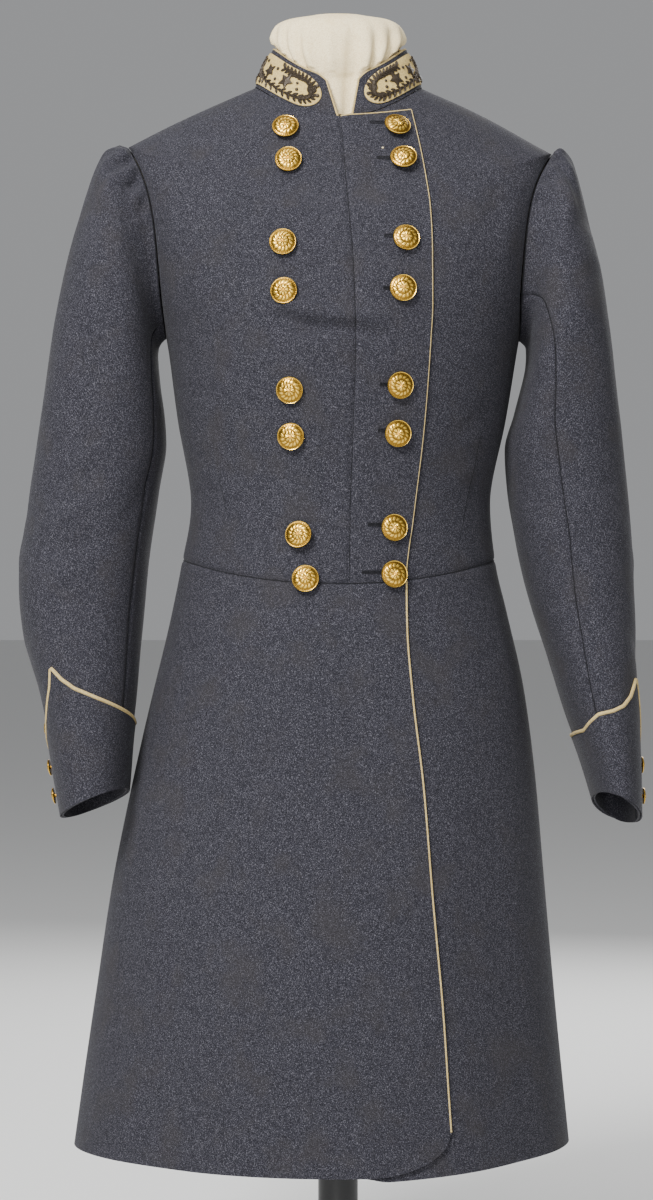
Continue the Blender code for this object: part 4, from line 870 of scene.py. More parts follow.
class CreaseField:
    """The creases of one surface, as an offset at any of its points."""

    STEPS = 9

    def __init__(self, surface: Surface, creases: Iterable[Crease]) -> None:
        """Lay each crease's path on the surface."""
        self.paths = []
        for crease in creases:
            share = np.linspace(0.0, 1.0, self.STEPS)
            u = crease.u1 + (crease.u2 - crease.u1) * share
            v = crease.v1 + (crease.v2 - crease.v1) * share
            self.paths.append((surface_spots(surface, u, v)[0], crease))

    def offset(self, points: np.ndarray) -> np.ndarray:
        """Offsets along the normals, in metres, at an array of points.

        Args:
            points: Points of the surface.

        Returns:
            Metres outward at each.
        """
        total = np.zeros(points.shape[:-1])
        for path, crease in self.paths:
            low, high = path.min(0) - 4 * crease.width, path.max(0) + 4 * crease.width
            near = np.all((points > low) & (points < high), axis=-1)
            if not near.any():
                continue
            spots = points[near]
            best, where = np.full(len(spots), 1e9), np.zeros(len(spots))
            for number in range(self.STEPS - 1):
                start, step = path[number], path[number + 1] - path[number]
                share = np.clip((spots - start) @ step / (step @ step), 0.0, 1.0)
                away = np.linalg.norm(spots - start - share[:, None] * step, axis=1)
                closer = away < best
                best = np.where(closer, away, best)
                where = np.where(closer, (number + share) / (self.STEPS - 1), where)
            fade = ease(where / 0.3) * ease((1.0 - where) / 0.3) * 0.8 + 0.2
            total[near] += crease.height * MM * np.exp(-(best / crease.width) ** 2) * fade
        return total


BODY_CREASES = [
    Crease(-28, 9.74, -6, 9.34, 0.0064, -3.6), Crease(-18, 9.35, 10, 9.42, 0.0060, -3.0),
    Crease(-1, 9.45, 21, 9.10, 0.0066, -3.2), Crease(-26, 10.02, -3, 9.72, 0.0080, 5.2),
    Crease(-9, 9.75, 21, 9.56, 0.0080, 4.2), Crease(-20, 9.02, 8, 8.98, 0.0095, 2.4),
    Crease(13, 11.15, 33, 10.62, 0.0060, -1.7),
    Crease(15, 11.42, 34, 10.95, 0.0065, 1.4), Crease(18, 10.35, 33, 10.12, 0.0060, -1.3),
    Crease(-46, 10.9, -30, 10.3, 0.0110, -1.2), Crease(-14, 12.9, 4, 12.5, 0.0080, -0.9),
    Crease(24, 14.0, 34, 13.3, 0.0070, -1.3), Crease(20, 13.4, 36, 12.9, 0.0080, 1.1),
    Crease(-60, 12.4, -52, 11.2, 0.012, -1.6), Crease(-64, 12.0, -60, 10.6, 0.010, 1.2),
    Crease(62, 12.3, 53, 11.0, 0.012, -1.7), Crease(66, 11.8, 60, 10.4, 0.010, 1.3),
    Crease(-70, 8.2, -40, 7.6, 0.010, -1.2), Crease(-75, 7.5, -44, 7.2, 0.009, 1.0),
    Crease(72, 8.3, 44, 7.7, 0.010, -1.3), Crease(76, 7.6, 48, 7.25, 0.009, 1.1),
    Crease(-30, 6.6, -6, 6.9, 0.010, -1.0), Crease(18, 6.5, 34, 6.9, 0.009, 0.9),
    Crease(-48, 5.7, -40, 4.2, 0.014, -1.3), Crease(-20, 5.6, -14, 3.4, 0.016, 1.1),
    Crease(34, 5.7, 40, 4.0, 0.013, -1.2), Crease(70, 5.5, 74, 3.6, 0.014, 1.1),
    Crease(-78, 5.6, -82, 3.9, 0.014, -1.2), Crease(5, 5.2, 9, 2.2, 0.018, -1.0),
    Crease(-33, 3.0, -30, 0.8, 0.020, 1.2), Crease(-66, 2.6, -70, 0.5, 0.019, -1.3),
    Crease(62, 3.0, 66, 0.6, 0.019, 1.2), Crease(44, 2.4, 47, 0.4, 0.016, -1.0),
    Crease(150, 8.6, 128, 8.0, 0.011, -1.3), Crease(-150, 8.4, -126, 7.8, 0.011, -1.3),
    Crease(160, 7.5, 132, 7.1, 0.009, 1.1), Crease(-158, 7.6, -130, 7.2, 0.009, 1.0),
    Crease(140, 12.0, 125, 10.9, 0.013, -1.4), Crease(-138, 12.2, -124, 11.0, 0.013, -1.3),
    Crease(168, 12.8, 150, 12.2, 0.012, 1.0), Crease(-170, 11.0, -150, 10.4, 0.012, 0.9),
]


def sleeve_creases(turned: float) -> list:
    """The sleeves' drag lines, crushed elbow and gathered head.

    Args:
        turned: Degrees by which one sleeve's folds lie further round than the other's.

    Returns:
        The creases.
    """
    rows = [
        (20, 3.4, 75, 4.6, 0.010, -1.5), (10, 4.2, 62, 5.6, 0.011, 1.3),
        (95, 3.0, 104, 6.0, 0.012, -1.2), (130, 4.4, 118, 7.2, 0.013, 1.1),
        (-20, 8.8, 46, 9.5, 0.009, -2.0), (-16, 9.3, 52, 10.2, 0.008, 1.7),
        (-24, 9.9, 44, 10.6, 0.008, -1.9), (-14, 10.4, 38, 11.1, 0.008, 1.3),
        (70, 10.0, 118, 9.1, 0.010, -1.3), (66, 10.8, 112, 10.1, 0.009, 1.1),
        (30, 11.6, 84, 12.4, 0.010, -1.2), (40, 6.4, 48, 8.8, 0.014, 1.2),
        (76, 6.8, 80, 9.4, 0.014, -1.3), (4, 5.8, 14, 8.2, 0.012, -1.1),
        (200, 8.9, 250, 9.6, 0.010, -1.4), (196, 10.0, 246, 10.7, 0.010, 1.2),
        (300, 8.6, 330, 9.8, 0.009, -1.4), (33, 0.10, 29, 1.7, 0.0042, -4.8),
        (43, 0.15, 41, 1.6, 0.0046, 3.0), (53, 0.10, 54, 1.9, 0.0042, -4.6),
        (24, 0.20, 20, 1.6, 0.0045, 2.6), (15, 0.10, 10, 1.5, 0.0040, -3.0),
        (63, 0.20, 66, 1.7, 0.0048, 2.6), (75, 0.15, 80, 1.7, 0.0042, -2.8),
        (12, 0.30, 5, 2.0, 0.0045, 1.5), (104, 0.2, 110, 1.9, 0.0045, 1.4),
        (120, 0.2, 128, 2.0, 0.0040, -1.7), (140, 0.3, 146, 1.9, 0.0045, 1.2),
    ]
    return [Crease(u1 + turned, v1, u2 + turned, v2, width, height)
            for u1, v1, u2, v2, width, height in rows]


FIELDS = {
    Surface.BODY: CreaseField(Surface.BODY, BODY_CREASES),
    Surface.SLEEVE_R: CreaseField(Surface.SLEEVE_R, sleeve_creases(0.0)),
    Surface.SLEEVE_L: CreaseField(Surface.SLEEVE_L, sleeve_creases(7.0)),
}


def ripple(points: np.ndarray, size: float, height: float, seed: float) -> np.ndarray:
    """Slow unevenness of worn cloth, from a few sine waves in different directions.

    Args:
        points: Points of the cloth.
        size: Metres from wave to wave.
        height: Most that the cloth moves, in metres.
        seed: Chooses the waves.

    Returns:
        An offset in metres for each point.
    """
    rng = np.random.default_rng(int(seed))
    total = np.zeros(points.shape[:-1])
    for _ in range(6):
        way = unit(rng.normal(size=3)) * 2.0 * math.pi / (size * rng.uniform(0.6, 1.7))
        total = total + np.sin(points @ way + rng.uniform(0.0, 6.28))
    return total / 6.0 * height


def sleeve_softness(side: Side, points: np.ndarray) -> np.ndarray:
    """Offsets in metres of a sleeve's creases and unevenness, at its points."""
    surface = Surface.SLEEVE_R if side is Side.RIGHT else Surface.SLEEVE_L
    return FIELDS[surface].offset(points) + ripple(points, *SLEEVE_WAVES)


class Panels:
    """Every cloth panel's outer face as a fine grid."""

    BODICE_STEP, SKIRT_STEP, SLEEVE_STEP = 0.0031, 0.0048, 0.0029

    def bodice_levels(self) -> np.ndarray:
        """Levels of the bodice's rows, from the waist seam to the neck.

        Returns:
            The levels, in order.
        """
        below = WAIST_SEAM + 3.0 * steps_between(0.20, self.BODICE_STEP, "a")
        beside = UNDERARM + 4.0 * (1.0 - np.cos(math.pi * np.linspace(0, 1, 49))) / 2.0
        above = SHOULDER + 2.0 * steps_between(0.13, self.BODICE_STEP, "b")
        return np.unique(np.round(np.concatenate((below, beside, above)), 5))

    def _body(self, turn: np.ndarray, level: np.ndarray, lift: Numbers = 0.0,
              seed: float = 1.0) -> Grid:
        """Grid of cloth on the body at turns in radians and levels, with its creases.

        Args:
            turn: Turns in radians.
            level: Levels.
            lift: Metres off the body.
            seed: Chooses the unevenness.

        Returns:
            The grid.
        """
        points, normals = BODY.point(turn, level), BODY.normal(turn, level)
        grid = Grid(points + normals * np.asarray(lift)[..., None], normals)
        soft = FIELDS[Surface.BODY].offset(points) + ripple(points, *BODY_WAVES, seed)
        return grid.move(soft + FACE_PROUD)

    def front(self, side: Side) -> Grid:
        """Forepart from the lapel seam to the side seam, armhole and shoulder.

        Args:
            side: The wearer's side.

        Returns:
            The grid.
        """
        level = self.bodice_levels()[:, None]
        share = steps_between(0.19, self.BODICE_STEP, "ab")[None, :]
        seam = np.degrees(BODY.turn_at(BODY.value("seam", level), level))
        outer = side.value * armhole_turn(level, True)
        turn = np.radians(seam + (outer - seam) * share)
        level = np.broadcast_to(level, turn.shape)
        lift = lap_lift(turn) if side is Side.RIGHT else np.zeros(turn.shape)
        return self._body(turn, level, lift).trimmed("alr").rolled("alr")

    def right_lapel(self) -> Grid:
        """Right lapel, from its centre seam to its free edge.

        Returns:
            The grid.
        """
        level = self.bodice_levels()[:, None]
        share = steps_between(0.07, self.BODICE_STEP, "a")[None, :]
        past = np.clip((share - LAPEL_TOP_FLAT) / (1.0 - LAPEL_TOP_FLAT), 0.0, 1.0)
        top = NECK - LAPEL_TOP_DROP * past ** LAPEL_TOP_BEND
        high = SHOULDER + (level - SHOULDER) * (top - SHOULDER) / (NECK - SHOULDER)
        level = np.where(level > SHOULDER, high, level + 0.0 * share)
        seam, edge = BODY.value("seam", level), BODY.value("edge", level)
        turn = BODY.turn_at(seam + (edge - seam) * share, level)
        return self._body(turn, level, lap_lift(turn)).trimmed("al").rolled("al")

    def side_body(self, side: Side) -> Grid:
        """Panel between the side seam and the curved back seam.

        Args:
            side: The wearer's side.

        Returns:
            The grid.
        """
        level = self.bodice_levels()
        level = level[level <= SIDE_BODY_TOP][:, None]
        share = steps_between(0.09, self.BODICE_STEP, "ab")[None, :]
        front, back = armhole_turn(level, False), np.interp(level, *BACK_SEAM)
        turn = np.radians(side.value * (front + (back - front) * share))
        level = np.broadcast_to(level, turn.shape)
        return self._body(turn, level).trimmed("ablr").rolled("alr")

    def back(self, side: Side) -> Grid:
        """Back panel, from the centre seam to the back seam, armhole and shoulder.

        Args:
            side: The wearer's side.

        Returns:
            The grid.
        """
        level = self.bodice_levels()[:, None]
        share = steps_between(0.16, self.BODICE_STEP, "ab")[None, :]
        edge = np.where(level > SIDE_BODY_TOP, armhole_turn(level, False),
                        np.interp(level, *BACK_SEAM))
        turn = np.radians(side.value * (edge + (VENT_TURN - edge) * share))
        level = np.broadcast_to(level, turn.shape)
        return self._body(turn, level).trimmed("alr").rolled("alr")

    def skirt_levels(self) -> np.ndarray:
        """Levels of the skirts' rows."""
        return WAIST_SEAM * steps_between(0.53, self.SKIRT_STEP, "b")

    def right_skirt(self) -> Grid:
        """Right skirt, from its piped front edge round the right side to the vent.

        Returns:
            The grid.
        """
        def turn_on(level: np.ndarray, share: np.ndarray) -> np.ndarray:
            """Turns at levels and shares of the width."""
            edge = BODY.turn_at(BODY.value("edge", level), level)
            return edge + (-math.radians(VENT_TURN) - edge) * share

        def rounded(turn: np.ndarray, level: np.ndarray) -> np.ndarray:
            """Levels drawn up over the rounded front corner.

            Args:
                turn: Turns in radians.
                level: Levels.

            Returns:
                The levels.
            """
            x = BODY.point(turn, np.zeros(turn.shape))[..., 0]
            into = np.clip((x - BODY.value("edge", HEM) + CORNER_REACH) / CORNER_REACH, 0.0, 1.0)
            into = np.where(turn < 0, 0.0, into)
            first = BODY.value("front", 1) - BODY.value("front", 0)
            cut = CORNER_RISE / first * (1.0 - np.sqrt(1.0 - into * into))
            return cut + level * (WAIST_SEAM - cut) / WAIST_SEAM
        level = self.skirt_levels()[:, None]
        share = steps_between(0.70, self.SKIRT_STEP)[None, :]
        level = rounded(turn_on(level, share), level + 0.0 * share)
        turn = turn_on(level, share)
        return self._body(turn, level, lap_lift(turn), 2.0).trimmed("b").rolled("b")

    def left_skirt(self) -> Grid:
        """Left skirt, from its hidden front edge round the left side over the vent.

        Returns:
            The grid.
        """
        level = self.skirt_levels()[:, None]
        share = steps_between(0.66, self.SKIRT_STEP)[None, :]
        degrees = LEFT_SKIRT_EDGE + (VENT_TURN + VENT_LAP - LEFT_SKIRT_EDGE) * share
        shown = ease((degrees - HEM_DROP_START) / HEM_DROP_REACH) * ease(1.0 - share / 0.5)
        level, turn = np.broadcast_arrays(level, np.radians(degrees))
        grid = self._body(turn, level, vent_lift(turn), 3.0)
        grid.points[..., 2] -= LEFT_HEM_DROP * ease(1.0 - level) * shown
        return grid.trimmed("b").rolled("b")

    def sleeve(self, side: Side, upper: bool) -> Grid:
        """Top or under sleeve.

        Args:
            side: The wearer's side.
            upper: The top sleeve, or else the under one.

        Returns:
            The grid.
        """
        sleeve = SLEEVES[side]
        first, last = HIND_SEAM[side][0], 360.0 + FRONT_SEAM[side][0]
        width = 0.17
        if upper:
            first, last, width = FRONT_SEAM[side][0], HIND_SEAM[side][0], 0.25
        ring = sleeve.last * steps_between(0.62, self.SLEEVE_STEP)[:, None]
        ring = np.unique(np.concatenate((ring[:, 0], np.linspace(0.0, 1.0, 12))))[:, None]
        start = first + (last - first) * steps_between(width, self.SLEEVE_STEP, "ab")[None, :]
        angle = sleeve.column(start, ring)
        ring = np.broadcast_to(ring, angle.shape)
        grid = Grid(sleeve.point(angle, ring), sleeve.normal(angle, ring))
        soft = sleeve_softness(side, grid.points) * ease(ring / 0.22)
        return grid.move(soft + FACE_PROUD).trimmed("lr").rolled("lr")

    def cuff_rows(self, side: Side, start: np.ndarray, share: np.ndarray) -> tuple:
        """Arm angle and ring on a cuff, at armhole angles and shares of its width.

        Args:
            side: The wearer's side.
            start: Armhole angles.
            share: Shares from the cuff's end up.

        Returns:
            Arm angles and rings.
        """
        sleeve = SLEEVES[side]
        turned = np.where(start < FRONT_SEAM[side][0], start + 360.0, start)
        table = np.array(CUFF_EDGES[side], float)
        top = np.full(np.shape(start), sleeve.last - 1.0)
        for _ in range(CUFF_ROUNDS):
            angle = sleeve.column(turned, top)
            shown = angle - np.where(turned > start, 360.0, 0.0)
            top = sleeve.ring_at(angle, np.interp(shown, table[:, 0], table[:, 1] * MM))
        ring = sleeve.last + (top - sleeve.last) * share
        return sleeve.column(turned, ring), ring

    def cuff_start(self, side: Side, size: float) -> np.ndarray:
        """Armhole angles from the hind seam once round to it again."""
        hind = HIND_SEAM[side][0]
        return hind - 360.0 + 360.0 * steps_between(0.30, size, "ab")

    def cuff(self, side: Side) -> Grid:
        """Pointed cuff laid round the end of the sleeve.

        Args:
            side: The wearer's side.

        Returns:
            The grid.
        """
        start = self.cuff_start(side, 0.0026)[None, :]
        share = steps_between(0.09, 0.0032)[:, None]
        start, share = np.broadcast_arrays(start, share)
        angle, ring = self.cuff_rows(side, start, share)
        sleeve = SLEEVES[side]
        grid = Grid(sleeve.point(angle, ring), sleeve.normal(angle, ring))
        return grid.move(CUFF_RISE + sleeve_softness(side, grid.points))

    def collar(self) -> Grid:
        """Standing collar, open at the front.

        Returns:
            The grid.
        """
        rise = steps_between(0.045, 0.0022)[:, None]
        share = steps_between(0.36, 0.0030)[None, :]
        foot_r, foot_l, top_r, top_l = COLLAR_ENDS
        start = COLLAR.turn_at(foot_l + (top_l - foot_l) * rise, rise)
        end = 2.0 * math.pi + COLLAR.turn_at(foot_r + (top_r - foot_r) * rise, rise)
        from_end = np.minimum(share, 1.0 - share) * 28.0
        cut = 1.0 - 0.12 * np.clip(1.0 - from_end, 0.0, None) ** 2
        turn, height = start + (end - start) * share, rise * cut
        grid = Grid(COLLAR.point(turn, height), COLLAR.normal(turn, height))
        return grid.move(FACE_PROUD + ripple(grid.points, *TRIM_WAVES))

    def patch(self, side: Side) -> Grid:
        """Patch on one side of the collar, round-ended at the front.

        Args:
            side: The wearer's side.

        Returns:
            The grid.
        """
        share = (steps_between(0.085, 0.0016) ** 1.5)[None, :]
        row = np.linspace(0.0, 1.0, 23)[:, None]
        front = COLLAR.turn_at(PATCH_FRONT[side], PATCH_MIDDLE)
        back = side.value * math.radians(PATCH_BACK_TURN)
        into = np.clip(1.0 - share / PATCH_ROUND, 0.0, 1.0)
        height = PATCH_HALF * np.maximum(np.sqrt(1.0 - into * into), 0.10)
        turn, rise = np.broadcast_arrays(front + (back - front) * share,
                                         PATCH_MIDDLE + height * (2.0 * row - 1.0))
        grid = Grid(COLLAR.point(turn, rise), COLLAR.normal(turn, rise))
        u, v = grid.lengths
        rim = np.minimum(np.minimum(v, v[-1:] - v), u)
        pillow = 0.0005 * np.exp(-(rim / 0.0015) ** 2)
        return grid.move(PATCH_RISE - pillow + ripple(grid.points, *TRIM_WAVES))


PANELS = Panels()


def linked(name: str, data: bpy.types.ID) -> bpy.types.Object:
    """New object in the scene with a mesh, light or camera as its data.

    Args:
        name: The object's name.
        data: What it shows.

    Returns:
        The object.
    """
    item = bpy.data.objects.new(name, data)
    bpy.context.scene.collection.objects.link(item)
    return item


def mesh_from(name: str, verts: np.ndarray, faces: list, material: bpy.types.Material,
              smooth: float = 50.0) -> bpy.types.Object:
    """Object from points and faces, its faces turned outward.

    Args:
        name: The piece's name.
        verts: Points, one a row.
        faces: Tuples of point numbers.
        material: What it is made of.
        smooth: Edges sharper than this many degrees stay sharp.

    Returns:
        The linked object.
    """
    mesh = bpy.data.meshes.new(name)
    mesh.from_pydata(verts.tolist(), [], faces)
    work = bmesh.new()
    work.from_mesh(mesh)
    bmesh.ops.recalc_face_normals(work, faces=work.faces)
    work.to_mesh(mesh)
    work.free()
    mesh.shade_smooth()
    mesh.set_sharp_from_angle(angle=math.radians(smooth))
    mesh.materials.append(material)
    return linked(name, mesh)


def wall_faces(rows: int, columns: int, closed: bool = False) -> list:
    """Faces of the closed wall between two grids of points, the outer one first.

    Args:
        rows: Rows of each grid.
        columns: Columns of each grid.
        closed: Whether each row runs round to its start.

    Returns:
        Tuples of point numbers.
    """
    last = columns if closed else columns - 1
    count = rows * columns
    row, column = np.meshgrid(np.arange(rows - 1), np.arange(last), indexing="ij")
    a = (row * columns + column).ravel()
    b = (row * columns + (column + 1) % columns).ravel()
    faces = np.stack((a, b, b + columns, a + columns), axis=1)
    faces = np.concatenate((faces, faces[:, ::-1] + count))
    rims = []
    for row, flip in ((0, False), (rows - 1, True)):
        a = row * columns + np.arange(last)
        b = row * columns + (np.arange(last) + 1) % columns
        rim = np.stack((a, a + count, b + count, b), axis=1)
        rims.append(rim[:, ::-1] if flip else rim)
    if not closed:
        for column, flip in ((0, True), (columns - 1, False)):
            a = np.arange(rows - 1) * columns + column
            rim = np.stack((a, a + count, a + columns + count, a + columns), axis=1)
            rims.append(rim[:, ::-1] if flip else rim)
    return [tuple(face) for face in np.concatenate((faces, *rims)).tolist()]


def shell(name: str, grid: Grid, thick: float, material: bpy.types.Material) -> bpy.types.Object:
    """Thin wall of cloth behind a grid, with metric UVs along its weave.

    Args:
        name: The piece's name.
        grid: Its outer face.
        thick: Its thickness in metres.
        material: What it is made of.

    Returns:
        The object.
    """
    inner = grid.points - grid.normals * thick
    rows, columns = grid.points.shape[:2]
    verts = np.concatenate((grid.points.reshape(-1, 3), inner.reshape(-1, 3)))
    item = mesh_from(name, verts, wall_faces(rows, columns), material, 60.0)
    u, v = grid.lengths
    metric = np.tile(np.stack((u, v), axis=-1).reshape(-1, 2), (2, 1))
    layer = item.data.uv_layers.new(name="weave")
    corners = np.zeros(len(item.data.loops), np.int32)
    item.data.loops.foreach_get("vertex_index", corners)
    layer.data.foreach_set("uv", metric[corners].astype(np.float32).ravel())
    return item


def flat_cut(grid: Grid) -> tuple:
    """Width, length and area of a panel's cut, measured along its own threads.

    Args:
        grid: The panel's outer face.

    Returns:
        Metres, metres and square metres.
    """
    u, v = grid.lengths
    p = grid.points
    one = np.cross(p[:-1, 1:] - p[:-1, :-1], p[1:, :-1] - p[:-1, :-1])
    two = np.cross(p[1:, :-1] - p[1:, 1:], p[:-1, 1:] - p[1:, 1:])
    area = (np.linalg.norm(one, axis=2).sum() + np.linalg.norm(two, axis=2).sum()) / 2.0
    width, length = float(u[:, -1].max()), float(v[-1].max())
    return width, length, float(area)


class Socketed:
    """A node group built in script, with named inputs and outputs."""

    def __init__(self, name: str, kind: str) -> None:
        """Start an empty group of a kind."""
        self.tree = bpy.data.node_groups.new(name, kind)
        self.start = self.tree.nodes.new("NodeGroupInput")
        self.end = self.tree.nodes.new("NodeGroupOutput")

    def give(self, name: str, kind: str, default: float | tuple | None = None) -> None:
        """Add an input socket.

        Args:
            name: The socket's name.
            kind: Its type.
            default: Its value at first.
        """
        socket = self.tree.interface.new_socket(name, in_out="INPUT", socket_type=kind)
        if default is not None:
            socket.default_value = default

    def take(self, name: str, kind: str) -> None:
        """Add an output socket."""
        self.tree.interface.new_socket(name, in_out="OUTPUT", socket_type=kind)

    def node(self, kind: str, **settings) -> bpy.types.Node:
        """Add a node and set its options.

        Args:
            kind: The node's type.
            settings: Its options.

        Returns:
            The node.
        """
        node = self.tree.nodes.new(kind)
        for key, value in settings.items():
            setattr(node, key, value)
        return node

    def link(self, start: bpy.types.NodeSocket, end: bpy.types.NodeSocket) -> None:
        """Join two sockets."""
        self.tree.links.new(start, end)

    def wire(self, *pairs: tuple) -> None:
        """Join sockets, each pair as a node, its output, the next node and its input."""
        for start, out, end, into in pairs:
            self.link(start.outputs[out], end.inputs[into])

    def math(self, how: str, one: float | bpy.types.NodeSocket,
             two: float | bpy.types.NodeSocket | None = None) -> bpy.types.NodeSocket:
        """Add a maths node on sockets or numbers.

        Args:
            how: The operation.
            one: Its first value.
            two: Its second, if any.

        Returns:
            The result's socket.
        """
        node = self.node("ShaderNodeMath", operation=how)
        for socket, value in zip(node.inputs, (one, two)):
            if isinstance(value, bpy.types.NodeSocket):
                self.link(value, socket)
            elif value is not None:
                socket.default_value = value
        return node.outputs[0]


def tube_group() -> bpy.types.NodeTree:
    """Geometry nodes: a round cord along a path of edges.

    Returns:
        The node group.
    """
    group = Socketed("cord_along_path", "GeometryNodeTree")
    group.give("Path", "NodeSocketGeometry")
    group.give("Radius", "NodeSocketFloat", 0.001)
    group.give("Sides", "NodeSocketInt", 10)
    group.give("Cloth", "NodeSocketMaterial")
    group.take("Cord", "NodeSocketGeometry")
    curve = group.node("GeometryNodeMeshToCurve")
    circle = group.node("GeometryNodeCurvePrimitiveCircle")
    sweep = group.node("GeometryNodeCurveToMesh")
    sweep.inputs["Fill Caps"].default_value = True
    smooth = group.node("GeometryNodeSetShadeSmooth")
    paint = group.node("GeometryNodeSetMaterial")
    group.wire((group.start, "Path", curve, "Mesh"), (group.start, "Sides", circle, "Resolution"),
               (group.start, "Radius", circle, "Radius"), (curve, "Curve", sweep, "Curve"),
               (circle, "Curve", sweep, "Profile Curve"), (sweep, "Mesh", smooth, "Geometry"),
               (smooth, "Geometry", paint, "Geometry"), (group.start, "Cloth", paint, "Material"),
               (paint, "Geometry", group.end, "Cord"))
    return group.tree


def stamp_group() -> bpy.types.NodeTree:
    """Geometry nodes: copies of a stamp at points that carry a turn and a scale.

    Returns:
        The node group.
    """
    group = Socketed("stamps_at_points", "GeometryNodeTree")
    group.give("Points", "NodeSocketGeometry")
    group.give("Stamp", "NodeSocketObject")
    group.give("Unevenness", "NodeSocketFloat", 0.1)
    group.give("Seed", "NodeSocketInt", SEED)
    group.give("Thread", "NodeSocketMaterial")
    group.take("Stamps", "NodeSocketGeometry")
    info = group.node("GeometryNodeObjectInfo")
    turn = group.node("GeometryNodeInputNamedAttribute", data_type="FLOAT_VECTOR")
    turn.inputs["Name"].default_value = "turn"
    size = group.node("GeometryNodeInputNamedAttribute", data_type="FLOAT_VECTOR")
    size.inputs["Name"].default_value = "size"
    place = group.node("GeometryNodeInstanceOnPoints")
    noise = group.node("FunctionNodeRandomValue", data_type="FLOAT")
    low = group.math("SUBTRACT", 1.0, group.start.outputs["Unevenness"])
    high = group.math("ADD", 1.0, group.start.outputs["Unevenness"])
    spread = group.node("ShaderNodeVectorMath", operation="SCALE")
    real = group.node("GeometryNodeRealizeInstances")
    paint = group.node("GeometryNodeSetMaterial")
    floats = [socket for socket in noise.inputs if socket.type == "VALUE"]
    group.link(low, floats[0])
    group.link(high, floats[1])
    group.link([s for s in noise.outputs if s.type == "VALUE"][0], spread.inputs["Scale"])
    group.wire((group.start, "Seed", noise, "Seed"), (group.start, "Stamp", info, "Object"),
               (group.start, "Points", place, "Points"), (info, "Geometry", place, "Instance"),
               (turn, "Attribute", place, "Rotation"), (size, "Attribute", spread, 0),
               (spread, 0, place, "Scale"), (place, "Instances", real, "Geometry"),
               (real, "Geometry", paint, "Geometry"), (group.start, "Thread", paint, "Material"),
               (paint, "Geometry", group.end, "Stamps"))
    return group.tree


class Maker:
    """Runs the geometry node groups and turns what they make into plain meshes."""

    def __init__(self) -> None:
        """Build the two node groups."""
        self.tube, self.stamp = tube_group(), stamp_group()

    def _run(self, name: str, source: bpy.types.Mesh, tree: bpy.types.NodeTree,
             values: dict) -> bpy.types.Object:
        """Run a node group on a mesh and keep what it makes as a plain mesh.

        Args:
            name: The piece's name.
            source: The mesh that the nodes start from.
            tree: The node group.
            values: Its inputs by name.

        Returns:
            The object.
        """
        carrier = linked(name, source)
        modifier = carrier.modifiers.new("make", "NODES")
        modifier.node_group = tree
        for item in tree.interface.items_tree:
            if item.item_type == "SOCKET" and item.in_out == "INPUT" and item.name in values:
                modifier[item.identifier] = values[item.name]
        bpy.context.view_layer.update()
        shown = carrier.evaluated_get(bpy.context.evaluated_depsgraph_get())
        mesh = bpy.data.meshes.new_from_object(shown)
        carrier.modifiers.remove(modifier)
        carrier.data = mesh
        mesh.name = name
        bpy.data.meshes.remove(source)
        return carrier

    def cord(self, name: str, paths: Sequence[np.ndarray], radius: float,
             material: bpy.types.Material, sides: int = 10) -> bpy.types.Object:
        """Round cords along lines of points.

        Args:
            name: The piece's name.
            paths: Lines of points, each in order.
            radius: The cord's radius in metres.
            material: What it is made of.
            sides: Sides of its section.

        Returns:
            One mesh object.
        """
        verts = np.concatenate(paths)
        edges, start = [], 0
        for path in paths:
            edges += [(start + n, start + n + 1) for n in range(len(path) - 1)]
            start += len(path)
        line = bpy.data.meshes.new(name + "_line")
        line.from_pydata(verts.tolist(), edges, [])
        made = self._run(name, line, self.tube,
                         {"Radius": radius, "Sides": sides, "Cloth": material})
        if not made.data.materials:
            made.data.materials.append(material)
        return made

    def stamps(self, name: str, stamp: bpy.types.Object, spots: Sequence[tuple],
               material: bpy.types.Material, uneven: float = 0.1) -> bpy.types.Object:
        """Copies of a small solid, each with its own place, turn and size.

        Args:
            name: The piece's name.
            stamp: The solid, drawn along its own X with Z up.
            spots: For each copy its place, forward direction, outward direction and scale.
            material: What it is made of.
            uneven: Share by which sizes vary.

        Returns:
            One mesh object.
        """
        points = bpy.data.meshes.new(name + "_points")
        points.from_pydata([tuple(place) for place, _, _, _ in spots], [], [])
        turns, sizes = [], []
        for _, forward, outward, size in spots:
            z = unit(np.asarray(outward, float))
            x = unit(forward - z * np.dot(forward, z))
            basis = Matrix(np.stack((x, np.cross(z, x), z), axis=1).tolist())
            turns += list(basis.to_euler())
            sizes += list(size)
        points.attributes.new("turn", "FLOAT_VECTOR", "POINT").data.foreach_set("vector", turns)
        points.attributes.new("size", "FLOAT_VECTOR", "POINT").data.foreach_set("vector", sizes)
        made = self._run(name, points, self.stamp,
                         {"Stamp": stamp, "Unevenness": uneven, "Seed": SEED, "Thread": material})
        if not made.data.materials:
            made.data.materials.append(material)
        return made


